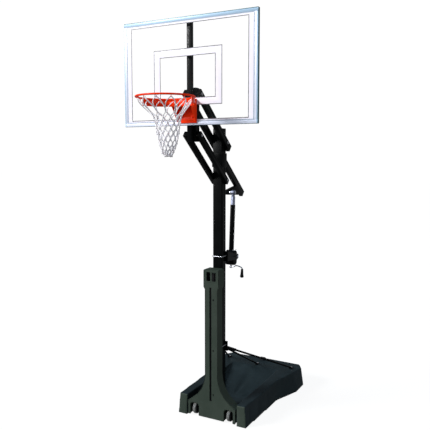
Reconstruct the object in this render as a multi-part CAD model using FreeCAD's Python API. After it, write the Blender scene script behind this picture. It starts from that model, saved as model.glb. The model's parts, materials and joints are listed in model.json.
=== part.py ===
import FreeCAD, Part
import math
import os

from FreeCAD import Vector

# Portable basketball hoop, in millimetres.
# +X is to the right seen from the court, +Y runs from the rim to the rear of the base, +Z is up.
# The origin is on the floor, on the centre line of the square post.

# Board
BOARD_WIDTH = 1320.8
BOARD_HEIGHT = 914.4
BOARD_BOTTOM = 2828.0
BOARD_FRONT_Y = -593.0
RAIL = 32.0
RAIL_WALL = 3.0
PANEL_THICK = 12.0
MAST_HALF = 22.5
MAST_DEPTH = 38.0
MAST_BOTTOM = 2690.0
PIVOT_TUBE_TOP = 3150.0

# Rim and net
RING_INNER_RADIUS = 228.6
RING_ROD_RADIUS = 7.95
RING_TOP = 3048.0
RING_REACH = 343.0
RIM_PLATE_WIDTH = 190.0
RIM_PLATE_THICK = 8.0
RIM_PLATE_BOTTOM = 2847.0
NET_BOTTOM = 2552.0
NET_WALL = 3.0
HOOK_COUNT = 12
BAND_HEIGHT = 52.0
RIM_BOLT_X = 52.0
RIM_BOLT_Z = (2900.0, 3006.0)
BACKING_PLATE = 6.0

# Post
POST = 90.0
POST_WALL = 4.8
POST_TOP = 2823.0
POST_FOOT = 62.0
COLLAR_HALF = 53.0
COLLAR_Z = (2461.0, 2592.0)
CLAMP_PLATE = 6.0
CLAMP_BLOCK = 28.0
CLAMP_BLOCK_HALF = 40.0
BRACE_RADIUS = 10.0
BRACE_START_Z = 670.0
U_BOLT_BAR = 5.0
LOWER_U_BOLT_Z = 705.0
UPPER_U_BOLT_Z = 1601.0

# Parallelogram lift
UPPER_PIVOT_Z = 2690.0
LOWER_PIVOT_Z = 2337.0
ARM_PIVOT_Y = -495.0
ARM_ANGLE = math.radians(39.5)
ARM_WIDTH = 38.0
ARM_INNER_X = 47.0
ARM_WALL = 3.0
UPPER_ARM_HEIGHT = 64.0
LOWER_ARM_HEIGHT = 51.0
TAIL_LENGTH = 825.0
STUB_LENGTH = 88.0
PIN_RADIUS = 8.0
BOLT_HEAD = 14.0
BOLT_HEAD_THICK = 9.0
PIN_FIT = 0.05
OPEN_PIVOT_FIT = 0.4
BUSH_RADIUS = 11.0

# Screw lift behind the post
SCREW_FOOT_Y = 255.0
SCREW_FOOT_Z = 1560.0
EYE_ALONG = 543.0
EYE_BELOW = 187.0
TUBE_RADIUS = 25.0
SLEEVE_RADIUS = 21.0
ROD_RADIUS = 16.95
SCREW_RADIUS = 7.0
TUBE_END = 518.0
SLEEVE_END = 600.0
ROD_START = 30.0
EYE_RADIUS = 24.0
CRANK_REACH = 128.0
CRANK_ALONG = -110.0
CRANK_BAR = 5.5
HOUSING = (96.0, 92.0, 150.0)
HOUSING_BELOW = 92.0
CHEEK_X = (62.0, 68.0)

# Base tank
TANK_HEIGHT = 205.0
TANK_WALL = 6.0
TANK_FRONT = -170.0
VALLEY_FRONT = -58.0
VALLEY_END = 880.0
VALLEY_HALF = 272.0
VALLEY_FLOOR = 60.0
FILL_LEVEL = 100.0
CAP_Y = 1085.0
CAP_RADIUS = 40.0
NECK_RADIUS = 28.08
FOOT_PLATE = 8.0

# Wheels
WHEEL_X = 187.0
WHEEL_Y = -122.0
WHEEL_Z = 74.0
WHEEL_RADIUS = 60.0
WHEEL_WIDTH = 40.0
AXLE_RADIUS = 6.0
HUB_RADIUS = 42.0
FORK_GAP = 3.0
FORK_PLATE = 5.0

# Post guard
GUARD_FRONT = -170.0
GUARD_BACK = -62.0
GUARD_WALL = 5.0
GUARD_TOP = 1490.0
HEAD_HALF = 81.0
NECK_HALF = 66.0
SKIRT_HALF = 262.0
WHEEL_OPENING = 46.0
RIB_THICK = 4.0

BOARD_TOP = BOARD_BOTTOM + BOARD_HEIGHT
BOARD_BACK_Y = BOARD_FRONT_Y + RAIL
RING_Z = RING_TOP - RING_ROD_RADIUS
RING_Y = BOARD_FRONT_Y - RING_REACH
RING_RADIUS = RING_INNER_RADIUS + RING_ROD_RADIUS
ARM_LENGTH = -ARM_PIVOT_Y / math.cos(ARM_ANGLE)
ARM_MID_X = ARM_INNER_X + ARM_WIDTH / 2
POST_HALF = POST / 2

X_AXIS = Vector(1, 0, 0)
Z_AXIS = Vector(0, 0, 1)
ARM_DIR = Vector(0, -math.cos(ARM_ANGLE), math.sin(ARM_ANGLE))
ARM_UP = Vector(0, math.sin(ARM_ANGLE), math.cos(ARM_ANGLE))
UPPER_REAR = Vector(0, 0, UPPER_PIVOT_Z)
LOWER_REAR = Vector(0, 0, LOWER_PIVOT_Z)
UPPER_FRONT = UPPER_REAR + ARM_DIR * ARM_LENGTH
LOWER_FRONT = LOWER_REAR + ARM_DIR * ARM_LENGTH
SCREW_FOOT = Vector(0, SCREW_FOOT_Y, SCREW_FOOT_Z)
EYE = UPPER_REAR - ARM_DIR * EYE_ALONG - ARM_UP * EYE_BELOW
SCREW_LENGTH = (EYE - SCREW_FOOT).Length
SCREW_DIR = (EYE - SCREW_FOOT) * (1 / SCREW_LENGTH)


def box(x0, x1, y0, y1, z0, z1):
    """A box between two corners."""
    return Part.makeBox(x1 - x0, y1 - y0, z1 - z0, Vector(x0, y0, z0))


def tube(start, end, outer, inner=0.0):
    """A round bar or tube from start to end."""
    axis = end - start
    solid = Part.makeCylinder(outer, axis.Length, start, axis)
    if inner:
        solid = solid.cut(Part.makeCylinder(inner, axis.Length, start, axis))
    return solid


def cross_bar(x0, x1, y, z, outer, inner=0.0):
    """A round bar or tube along X."""
    return tube(Vector(x0, y, z), Vector(x1, y, z), outer, inner)


def prism_yz(points, x0, x1):
    """An outline of (y, z) points, carried from x0 to x1."""
    corners = [Vector(x0, y, z) for y, z in points]
    face = Part.Face(Part.makePolygon(corners + corners[:1]))
    return face.extrude(Vector(x1 - x0, 0, 0))


def hex_bar(start, end, radius):
    """A hexagonal bolt head or nut."""
    axis = end - start
    points = [Vector(radius * math.cos(math.radians(60 * i)), radius * math.sin(math.radians(60 * i)), 0)
              for i in range(7)]
    solid = Part.Face(Part.makePolygon(points)).extrude(Vector(0, 0, axis.Length))
    solid.Placement = FreeCAD.Placement(start, FreeCAD.Rotation(Z_AXIS, axis))
    return solid


def pivot_bolt(y, z, half):
    """A through bolt along X with a hexagonal head and nut outside the arms."""
    shank = cross_bar(-half, half, y, z, PIN_RADIUS)
    head = hex_bar(Vector(-half - BOLT_HEAD_THICK, y, z), Vector(-half, y, z), BOLT_HEAD)
    nut = hex_bar(Vector(half, y, z), Vector(half + BOLT_HEAD_THICK, y, z), BOLT_HEAD)
    return shank.fuse([head, nut])


def along_screw(s):
    """The point at distance s up the lifting screw's centre line."""
    return SCREW_FOOT + SCREW_DIR * s


def export(name, *solids):
    """Write one node, made of one solid or of a group of separate solids."""
    shape = solids[0] if len(solids) == 1 else Part.makeCompound(list(solids))
    shape.exportStep("parts/" + name + ".step")


def arm(side, rear, start, height, bores):
    """A hollow box arm on one side of the post, with cross bores for its bushes."""
    x0 = side * ARM_MID_X - ARM_WIDTH / 2
    length = ARM_LENGTH + height / 2 - start
    turn = FreeCAD.Rotation(X_AXIS, 180 - math.degrees(ARM_ANGLE))
    outer = Part.makeBox(ARM_WIDTH, length, height, Vector(0, start, -height / 2))
    inner = Part.makeBox(ARM_WIDTH - 2 * ARM_WALL, length - 2 * ARM_WALL, height - 2 * ARM_WALL,
                         Vector(ARM_WALL, start + ARM_WALL, ARM_WALL - height / 2))
    body = outer.cut(inner)
    body.Placement = FreeCAD.Placement(Vector(x0, rear.y, rear.z), turn)
    holes = [cross_bar(x0 - 1, x0 + ARM_WIDTH + 1, p.y, p.z, BUSH_RADIUS) for p in bores]
    return body.cut(holes)


def bushes(points):
    """Plain bushes through both arms of a pair, at each pivot."""
    made = []
    for side in (-1, 1):
        x0 = side * ARM_MID_X - ARM_WIDTH / 2
        for p in points:
            fit = OPEN_PIVOT_FIT if p is LOWER_FRONT else PIN_FIT
            made.append(cross_bar(x0, x0 + ARM_WIDTH, p.y, p.z, BUSH_RADIUS, PIN_RADIUS + fit))
    return made


def washers(points, inner_face):
    """Thrust washers between a fixed face and each arm."""
    made = []
    for side in (-1, 1):
        for p in points:
            near = side * inner_face
            made.append(cross_bar(near, near + side * 1.7, p.y, p.z, 18, PIN_RADIUS + PIN_FIT))
    return made


def tank_outline(z, inset):
    """The tank's outline at the floor (z = 0) or at the deck (z = TANK_HEIGHT), pulled in by inset."""
    lean = z / TANK_HEIGHT
    front = TANK_FRONT + 6 * lean + inset
    rear = 1165 - 15 * lean - inset
    half = [377 - 17 * lean, 400 - 15 * lean, 505 - 55 * lean, 505 - 25 * lean, 440 - 15 * lean]
    ys = [front, 560.0, 860.0, rear - 90, rear]
    right = [Vector(h - inset, y, z) for h, y in zip(half, ys)]
    left = [Vector(-p.x, p.y, z) for p in reversed(right)]
    points = right + left
    return Part.makePolygon(points + points[:1])


def tank_body(inset, floor, top):
    """The tank's outside, or its inside when inset, with the valley for the post cut out."""
    solid = Part.makeLoft([tank_outline(0, inset), tank_outline(TANK_HEIGHT, inset)], True, True)
    solid = solid.common(box(-600, 600, -300, 1300, floor, top))
    half = VALLEY_HALF + inset
    valley = prism_yz([(VALLEY_FRONT - 400, VALLEY_FLOOR - inset), (300, VALLEY_FLOOR - inset),
                       (VALLEY_END, TANK_HEIGHT + 1 - inset), (VALLEY_END, TANK_HEIGHT + 50),
                       (VALLEY_FRONT - 400, TANK_HEIGHT + 50)], -half, half)
    mouth = box(-half, half, -300, VALLEY_FRONT + inset, -10, 300)
    return solid.cut([valley, mouth])


def u_bolt(z):
    """A U-bolt round the front of the post, with its legs pointing back."""
    reach = POST_HALF + CLAMP_PLATE
    bar = U_BOLT_BAR
    bridge = cross_bar(-reach, reach, -reach, z, bar)
    legs = [tube(Vector(s * reach, -reach, z), Vector(s * reach, POST_HALF + 24, z), bar) for s in (-1, 1)]
    corners = [Part.makeSphere(bar, Vector(s * reach, -reach, z)) for s in (-1, 1)]
    nuts = [hex_bar(Vector(s * reach, reach, z), Vector(s * reach, reach + 8, z), 9) for s in (-1, 1)]
    return bridge.fuse(legs + corners + nuts)


def clamp_plate(z0, z1, bolt_z):
    """A plate on the rear face of the post, drilled for a U-bolt."""
    reach = POST_HALF + CLAMP_PLATE
    plate = box(-68, 68, POST_HALF, reach, z0, z1)
    holes = [tube(Vector(s * reach, 0, bolt_z), Vector(s * reach, 90, bolt_z), U_BOLT_BAR + 0.2)
             for s in (-1, 1)]
    return plate.cut(holes)


def make_base():
    """Tank, ballast, guard, wheels and the fasteners of the base."""
    tank = tank_body(0, 0, TANK_HEIGHT).cut(tank_body(TANK_WALL, TANK_WALL, TANK_HEIGHT - TANK_WALL))
    tank = tank.cut(tube(Vector(0, CAP_Y, 150), Vector(0, CAP_Y, 260), NECK_RADIUS))
    export("base_tank", tank)
    export("ballast_fill", tank_body(TANK_WALL + 0.3, TANK_WALL + 0.3, FILL_LEVEL))

    lid_z = TANK_HEIGHT + 2
    grip_z = lid_z + 18
    plug = tube(Vector(0, CAP_Y, TANK_HEIGHT - 14), Vector(0, CAP_Y, lid_z), NECK_RADIUS - 0.08)
    lid = tube(Vector(0, CAP_Y, lid_z), Vector(0, CAP_Y, grip_z), CAP_RADIUS)
    grip = box(-32, 32, CAP_Y - 6, CAP_Y + 6, grip_z, grip_z + 12)
    export("filler_cap", plug.fuse([lid, grip]))

    axles = []
    forks = []
    for name, side in (("left", -1), ("right", 1)):
        x = side * WHEEL_X
        half = WHEEL_WIDTH / 2
        bore = AXLE_RADIUS + PIN_FIT
        export("wheel_" + name, cross_bar(x - half + 2, x + half - 2, WHEEL_Y, WHEEL_Z, HUB_RADIUS, bore))
        tyre = cross_bar(x - half, x + half, WHEEL_Y, WHEEL_Z, WHEEL_RADIUS, HUB_RADIUS)
        rims = [e for e in tyre.Edges if abs(e.BoundBox.ZMax - WHEEL_Z - WHEEL_RADIUS) < 0.1
                and e.BoundBox.XLength < 0.1]
        export("tyre_" + name, tyre.makeFillet(7, rims))
        left = x - half - FORK_GAP - FORK_PLATE
        right = x + half + FORK_GAP + FORK_PLATE
        bolt = cross_bar(left, right, WHEEL_Y, WHEEL_Z, AXLE_RADIUS)
        heads = [hex_bar(Vector(left - 6, WHEEL_Y, WHEEL_Z), Vector(left, WHEEL_Y, WHEEL_Z), 10),
                 hex_bar(Vector(right, WHEEL_Y, WHEEL_Z), Vector(right + 6, WHEEL_Y, WHEEL_Z), 10)]
        axles.append(bolt.fuse(heads))
        for edge in (left, right - FORK_PLATE):
            cheek = box(edge, edge + FORK_PLATE, WHEEL_Y - 18, VALLEY_FRONT, WHEEL_Z - 20, WHEEL_Z + 20)
            hole = cross_bar(edge - 1, edge + FORK_PLATE + 1, WHEEL_Y, WHEEL_Z, AXLE_RADIUS)
            forks.append(cheek.cut(hole))
        forks.append(box(left, right, VALLEY_FRONT, VALLEY_FRONT + 60, VALLEY_FLOOR, VALLEY_FLOOR + 4))
    export("wheel_axles", *axles)
    export("wheel_forks", *forks)


def guard_outline(inset):
    """The guard seen from the court: head, neck and flared skirt."""
    head = HEAD_HALF - inset
    neck = NECK_HALF - inset
    skirt = SKIRT_HALF - inset
    lean = inset * 0.4
    right = [(skirt, 20 + inset), (skirt, 152 - lean), (neck + 26, 336), (neck, 410), (neck, 1300 + inset),
             (head, 1322 + inset), (head, GUARD_TOP - 14 - inset), (head - 12, GUARD_TOP - inset)]
    points = [Vector(x, 0, z) for x, z in right]
    points += [Vector(-p.x, 0, p.z) for p in reversed(points)]
    return Part.Face(Part.makePolygon(points + points[:1]))


def make_guard():
    """The moulded guard in front of the post, open to the rear; returns its screws."""
    outer = guard_outline(0)
    outer.translate(Vector(0, GUARD_FRONT, 0))
    inner = guard_outline(GUARD_WALL)
    inner.translate(Vector(0, GUARD_FRONT + GUARD_WALL, 0))
    depth = GUARD_BACK - GUARD_FRONT
    shell = outer.extrude(Vector(0, depth, 0)).cut(inner.extrude(Vector(0, depth, 0)))
    cuts = []
    for side in (-1, 1):
        x0, x1 = sorted((side * 8, side * 50))
        cuts.append(box(x0, x1, GUARD_FRONT - 1, GUARD_FRONT + 20, 1378, 1466))
        x = side * WHEEL_X
        cuts.append(box(x - WHEEL_OPENING, x + WHEEL_OPENING, GUARD_FRONT - 1, GUARD_BACK + 1, 0, 146))
    cuts.append(box(-16, 0, GUARD_FRONT - 1, GUARD_FRONT + 20, 190, 1318))
    export("post_guard", shell.cut(cuts))
    rib_front = GUARD_FRONT + GUARD_WALL
    rib_back = rib_front + RIB_THICK
    rib = box(-26, 10, rib_front, rib_back, 180, 1328)
    clips = [box(-40, 40, rib_back, -POST_HALF, z, z + 30) for z in (300, 640, 1200)]
    export("guard_stand_offs", rib, *clips)
    return [tube(Vector(24, GUARD_FRONT - 3, z), Vector(24, GUARD_FRONT, z), 7) for z in (260, 700, 1200)]


def make_post():
    """Square post with its foot, cap, collar and rear braces; returns its bolts."""
    inner = POST_HALF - POST_WALL
    post = box(-POST_HALF, POST_HALF, -POST_HALF, POST_HALF, POST_FOOT + 6, POST_TOP)
    post = post.cut(box(-inner, inner, -inner, inner, 0, POST_TOP + 10))
    holes = [cross_bar(-60, 60, 0, z, PIN_RADIUS) for z in (UPPER_PIVOT_Z, LOWER_PIVOT_Z)]
    export("post", post.cut(holes))
    lid = box(-POST_HALF, POST_HALF, -POST_HALF, POST_HALF, POST_TOP, POST_TOP + 4)
    export("post_cap", lid.fuse(box(-inner + 1, inner - 1, -inner + 1, inner - 1, POST_TOP - 20, POST_TOP)))
    plate_top = VALLEY_FLOOR + FOOT_PLATE
    foot = box(-110, 110, -55, 130, VALLEY_FLOOR, plate_top)
    export("post_foot_plate", foot)
    spots = [(x, y) for x in (-90, 90) for y in (-36, 110)]
    fasteners = [hex_bar(Vector(x, y, plate_top), Vector(x, y, plate_top + 9), 12) for x, y in spots]

    sleeve = box(-COLLAR_HALF, COLLAR_HALF, -COLLAR_HALF, COLLAR_HALF, *COLLAR_Z)
    sleeve = sleeve.cut(box(-POST_HALF, POST_HALF, -POST_HALF, POST_HALF, 2400, 2700))
    export("post_collar", sleeve)
    fasteners += [hex_bar(Vector(-20, -COLLAR_HALF, z), Vector(-20, -COLLAR_HALF - 7, z), 10)
                  for z in (2490, 2560)]

    block_back = POST_HALF + CLAMP_PLATE + CLAMP_BLOCK
    block = box(-CLAMP_BLOCK_HALF, CLAMP_BLOCK_HALF, POST_HALF + CLAMP_PLATE, block_back,
                BRACE_START_Z - 20, BRACE_START_Z + 20)
    export("brace_clamp", clamp_plate(640, 740, LOWER_U_BOLT_Z).fuse(block))
    deck = TANK_HEIGHT
    feet = {"brace_left": (-385, 1000, -28), "brace_centre": (0, 935, 0), "brace_right": (385, 1000, 28)}
    for name, (x, y, start_x) in feet.items():
        start = Vector(start_x, block_back - 5, BRACE_START_Z)
        end = Vector(x, y - 26, deck + 14)
        pad = box(x - 16, x + 16, y - 34, y + 18, deck, deck + 6)
        rod = tube(start, end, BRACE_RADIUS).cut(box(-700, 700, 0, 1300, 0, deck + 6))
        rod = rod.cut(box(-700, 700, 0, block_back, deck, 800))
        export(name, rod.fuse(pad))
        fasteners.append(hex_bar(Vector(x, y, deck + 6), Vector(x, y, deck + 15), 11))
    return fasteners


def make_arms():
    """The two pairs of parallel arms, their bushes, washers and pivot bolts."""
    export("upper_arm_right", arm(1, UPPER_REAR, -STUB_LENGTH, UPPER_ARM_HEIGHT, [UPPER_REAR, UPPER_FRONT]))
    export("upper_arm_left", arm(-1, UPPER_REAR, -TAIL_LENGTH, UPPER_ARM_HEIGHT, [UPPER_REAR, UPPER_FRONT]))
    for name, side in (("lower_arm_left", -1), ("lower_arm_right", 1)):
        export(name, arm(side, LOWER_REAR, -34, LOWER_ARM_HEIGHT, [LOWER_REAR, LOWER_FRONT]))
    export("upper_arm_bushes", *bushes([UPPER_REAR, UPPER_FRONT]))
    export("lower_arm_bushes", *bushes([LOWER_REAR, LOWER_FRONT]))
    half = ARM_INNER_X + ARM_WIDTH + 0.5
    for name, points in (("post", [UPPER_REAR, LOWER_REAR]), ("board", [UPPER_FRONT, LOWER_FRONT])):
        bolts = [pivot_bolt(p.y, p.z, half) for p in points]
        export(name + "_pivot_bolts", *(bolts + washers(points, POST_HALF)))

    under_tail = UPPER_REAR - ARM_UP * (UPPER_ARM_HEIGHT / 2)
    corners = [under_tail - ARM_DIR * 640, under_tail - ARM_DIR * 800, EYE + Vector(0, -22, -24),
               EYE + Vector(0, -22, 24)]
    lug = prism_yz([(p.y, p.z) for p in corners], -ARM_INNER_X - ARM_WIDTH, -ARM_INNER_X)
    outside = -ARM_INNER_X - ARM_WIDTH
    nut = hex_bar(Vector(outside - BOLT_HEAD_THICK, EYE.y, EYE.z), Vector(outside, EYE.y, EYE.z), BOLT_HEAD)
    export("tail_lug", lug, nut)


def make_screw_lift():
    """The crank-driven screw that moves the arms, and the fork on the post that it swings in."""
    turn = FreeCAD.Rotation(Z_AXIS, SCREW_DIR)
    width, depth, height = HOUSING
    corner = Vector(-width / 2, -depth / 2, -HOUSING_BELOW)
    housing = Part.makeBox(width, depth, height, corner)
    housing = housing.makeFillet(10, [e for e in housing.Edges if e.BoundBox.ZLength > 140])
    housing.Placement = FreeCAD.Placement(SCREW_FOOT, turn)
    cavity = tube(along_screw(-60), along_screw(40), 30)
    upper_bore = tube(along_screw(30), along_screw(70), SLEEVE_RADIUS)
    lower_bore = tube(along_screw(-100), along_screw(-50), SCREW_RADIUS + PIN_FIT)
    pin_bore = cross_bar(-width, width, SCREW_FOOT_Y, SCREW_FOOT_Z, PIN_RADIUS + PIN_FIT)
    export("gear_housing", housing.cut([cavity, upper_bore, lower_bore, pin_bore]))
    export("thrust_bearing", tube(along_screw(-58), along_screw(-38), 26, SCREW_RADIUS + PIN_FIT))
    across = SCREW_DIR.cross(X_AXIS)
    spots = [X_AXIS * x + across * y for x in (-36, 36) for y in (-32, 32)]
    export("housing_screws", *[hex_bar(along_screw(58) + p, along_screw(64) + p, 6) for p in spots])

    outer_tube = tube(along_screw(58), along_screw(TUBE_END), TUBE_RADIUS, SLEEVE_RADIUS)
    holes = [tube(along_screw(s), along_screw(s) + X_AXIS * 60, 7)
             for s in range(120, 500, 80)]
    export("lift_outer_tube", outer_tube.cut(holes))
    sleeve = tube(along_screw(40), along_screw(SLEEVE_END), SLEEVE_RADIUS, ROD_RADIUS + PIN_FIT)
    export("lift_guide_sleeve", sleeve)

    rod = tube(along_screw(ROD_START), along_screw(SCREW_LENGTH - 14), ROD_RADIUS)
    rod = rod.cut(tube(along_screw(ROD_START), along_screw(SCREW_LENGTH - 50), 10))
    eye = cross_bar(-15, 15, EYE.y, EYE.z, EYE_RADIUS)
    rod = rod.fuse(eye).cut(cross_bar(-20, 20, EYE.y, EYE.z, PIN_RADIUS))
    export("lift_rod", rod)
    export("lift_nut", tube(along_screw(ROD_START), along_screw(ROD_START + 40), 10, SCREW_RADIUS + PIN_FIT))
    spacer = cross_bar(-ARM_INNER_X + 0.7, -15, EYE.y, EYE.z, 13)
    shank = cross_bar(-16, 20, EYE.y, EYE.z, PIN_RADIUS)
    head = hex_bar(Vector(15, EYE.y, EYE.z), Vector(26, EYE.y, EYE.z), BOLT_HEAD)
    export("lift_eye_bolt", spacer.fuse([shank, head]))

    screw = tube(along_screw(-104), along_screw(SCREW_LENGTH - 70), SCREW_RADIUS)
    export("lift_screw", screw)
    hub = tube(along_screw(-122), along_screw(-96), 15)
    hub = hub.cut(tube(along_screw(-104), along_screw(-90), SCREW_RADIUS))
    elbow = along_screw(CRANK_ALONG) + X_AXIS * CRANK_REACH
    handle_end = elbow - SCREW_DIR * 98
    bar = tube(along_screw(CRANK_ALONG), elbow, CRANK_BAR)
    pin = tube(elbow, handle_end, CRANK_BAR)
    stop = tube(handle_end, handle_end - SCREW_DIR * 3, 9)
    export("crank_arm", hub.fuse([bar, pin, Part.makeSphere(CRANK_BAR, elbow), stop]))
    bore = Part.makeCylinder(CRANK_BAR + PIN_FIT, 130, elbow, SCREW_DIR * -1)
    grip = Part.makeCone(13, 17, 84, elbow - SCREW_DIR * 12, SCREW_DIR * -1).cut(bore)
    export("crank_grip", grip)

    cheek = [(POST_HALF, 1545), (POST_HALF, 1635), (235, 1592), (285, 1580), (285, 1540), (250, 1528)]
    near, far = CHEEK_X
    bracket = clamp_plate(1540, 1640, UPPER_U_BOLT_Z)
    for side in (-1, 1):
        x0, x1 = sorted((side * near, side * far))
        pin = cross_bar(side * 36, side * far, SCREW_FOOT_Y, SCREW_FOOT_Z, PIN_RADIUS)
        boss = cross_bar(side * 49, side * near, SCREW_FOOT_Y, SCREW_FOOT_Z, 15)
        bracket = bracket.fuse([prism_yz(cheek, x0, x1), pin, boss])
    export("lift_bracket", bracket)
    export("u_bolts", u_bolt(LOWER_U_BOLT_Z), u_bolt(UPPER_U_BOLT_Z))


def make_board():
    """Mast, pivot tube, frame, clear panel and gasket."""
    half = BOARD_WIDTH / 2
    back = BOARD_BACK_Y

    def rail(x0, x1, z0, z1):
        outer = box(x0, x1, BOARD_FRONT_Y, back, z0, z1)
        wall = RAIL_WALL
        return outer.cut(box(x0 + wall, x1 - wall, BOARD_FRONT_Y + wall, back - wall, z0 + wall, z1 - wall))

    export("frame_rail_top", rail(-half, half, BOARD_TOP - RAIL, BOARD_TOP))
    export("frame_rail_bottom", rail(-half, half, BOARD_BOTTOM, BOARD_BOTTOM + RAIL))
    export("frame_rail_left", rail(-half, -half + RAIL, BOARD_BOTTOM + RAIL, BOARD_TOP - RAIL))
    export("frame_rail_right", rail(half - RAIL, half, BOARD_BOTTOM + RAIL, BOARD_TOP - RAIL))

    px = half - RAIL
    z0 = BOARD_BOTTOM + RAIL
    z1 = BOARD_TOP - RAIL
    panel_back = BOARD_FRONT_Y + PANEL_THICK
    panel = box(-px, px, BOARD_FRONT_Y, panel_back, z0, z1)
    bolt_spots = [(x, z) for x in (-RIM_BOLT_X, RIM_BOLT_X) for z in RIM_BOLT_Z]
    holes = [tube(Vector(x, -640, z), Vector(x, -500, z), 6.2) for x, z in bolt_spots]
    export("clear_panel", panel.cut(holes))
    seal = box(-px, px, panel_back, panel_back + 3, z0, z1)
    export("panel_gasket", seal.cut(box(-px + 12, px - 12, -700, -500, z0 + 12, z1 - 12)))

    near = back + MAST_DEPTH
    mast = box(-MAST_HALF, MAST_HALF, back, near, MAST_BOTTOM, BOARD_TOP)
    export("board_mast", mast.cut(box(-18, 18, back + 4, near - 4, MAST_BOTTOM - 10, BOARD_TOP - 4)))
    far = ARM_PIVOT_Y + 34
    pivot = box(-POST_HALF, POST_HALF, near, far, MAST_BOTTOM, PIVOT_TUBE_TOP)
    pivot = pivot.cut(box(-POST_HALF + 5, POST_HALF - 5, near + 5, far - 5, 2600, 3200))
    bores = [cross_bar(-60, 60, p.y, p.z, PIN_RADIUS) for p in (UPPER_FRONT, LOWER_FRONT)]
    pivot = pivot.cut(bores).fuse(box(-POST_HALF, POST_HALF, near, far, PIVOT_TUBE_TOP, PIVOT_TUBE_TOP + 4))
    export("pivot_tube", pivot)
    spots = [(x, z) for x in (-half + 16, half - 16) for z in (BOARD_BOTTOM + 16, BOARD_TOP - 16)]
    screws = [tube(Vector(x, back, z), Vector(x, back + 4, z), 8) for x, z in spots]
    lugs = [hex_bar(Vector(0, near, z), Vector(0, near + 8, z), 11)
            for z in (BOARD_TOP - 16, BOARD_TOP - 70, 3240)]
    export("board_fasteners", *(screws + lugs))

    backing_back = panel_back + BACKING_PLATE
    backing = box(-75, 75, panel_back, backing_back, 2872, 3030)
    block = box(-22, 22, backing_back, back, 2880, 3024)
    export("rim_backing_plate", backing.cut(holes).fuse(block))
    front = BOARD_FRONT_Y - RIM_PLATE_THICK
    shanks = [tube(Vector(x, front, z), Vector(x, backing_back + 10, z), 6) for x, z in bolt_spots]
    heads = [hex_bar(Vector(x, front - 7, z), Vector(x, front, z), 11) for x, z in bolt_spots]
    nuts = [hex_bar(Vector(x, backing_back, z), Vector(x, backing_back + 8, z), 11) for x, z in bolt_spots]
    export("rim_bolts", *[a.fuse([b, c]) for a, b, c in zip(shanks, heads, nuts)])


def make_rim():
    """Rim plate, gussets, ring, its brace, the net hooks and the net."""
    half = RIM_PLATE_WIDTH / 2
    face = BOARD_FRONT_Y - RIM_PLATE_THICK
    plate = box(-half, half, face, BOARD_FRONT_Y, RIM_PLATE_BOTTOM, RING_TOP + 2)
    holes = [tube(Vector(x, -640, z), Vector(x, -500, z), 6)
             for x in (-RIM_BOLT_X, RIM_BOLT_X) for z in RIM_BOLT_Z]
    export("rim_plate", plate.cut(holes))
    ring_edge = RING_Y + math.sqrt(RING_RADIUS ** 2 - (half - 3) ** 2) + RING_ROD_RADIUS + 1
    outline = [(face, RIM_PLATE_BOTTOM + 4), (face, RING_Z), (ring_edge, RING_Z), (ring_edge, RING_Z - 34)]
    shelf = box(-half, half, RING_Y + 100, face, RING_Z, RING_Z + 5)
    clear = Part.makeCylinder(RING_RADIUS + RING_ROD_RADIUS + 0.5, 60, Vector(0, RING_Y, RING_Z - 30))
    gussets = [prism_yz(outline, -half, -half + 6), prism_yz(outline, half - 6, half)]
    export("rim_bracket", shelf.cut(clear), *gussets)
    export("ring", Part.makeTorus(RING_RADIUS, RING_ROD_RADIUS, Vector(0, RING_Y, RING_Z)))

    top = RING_Z - RING_ROD_RADIUS
    band_foot = Vector(0, RING_Y, top - BAND_HEIGHT)
    outer = Part.makeCylinder(RING_RADIUS + 3, BAND_HEIGHT, band_foot)
    band = outer.cut(Part.makeCylinder(RING_RADIUS - 2, BAND_HEIGHT, band_foot))
    export("ring_brace", band.common(box(-400, 400, RING_Y + 20, RING_Y + 400, 2900, 3100)))

    hooks = []
    for i in range(HOOK_COUNT):
        angle = math.radians(360 / HOOK_COUNT * (i + 0.5))
        out = Vector(math.cos(angle), math.sin(angle), 0)
        centre = Vector(0, RING_Y, top - 5) + out * (RING_RADIUS - 12)
        hooks.append(Part.makeTorus(7, 2.2, centre, Vector(-out.y, out.x, 0)))
    export("net_hooks", *hooks)

    profile = [(206, top - 16), (158, top - 74), (118, top - 150), (100, top - 262), (76, top - 380),
               (48, NET_BOTTOM)]
    inside = [(r - NET_WALL, z) for r, z in reversed(profile)]
    points = [Vector(r, 0, z) for r, z in profile + inside]
    skin = Part.Face(Part.makePolygon(points + points[:1]))
    skin.translate(Vector(0, RING_Y, 0))
    export("net", skin.revolve(Vector(0, RING_Y, 0), Z_AXIS, 360))


def main():
    os.makedirs("parts", exist_ok=True)
    make_base()
    make_arms()
    make_board()
    make_rim()
    make_screw_lift()
    export("frame_fasteners", *(make_guard() + make_post()))


main()
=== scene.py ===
import json
import logging
import math
from dataclasses import dataclass
from enum import Enum
from typing import Callable, Iterable, Sequence

import bmesh
import bpy
from mathutils import Matrix, Vector


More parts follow.
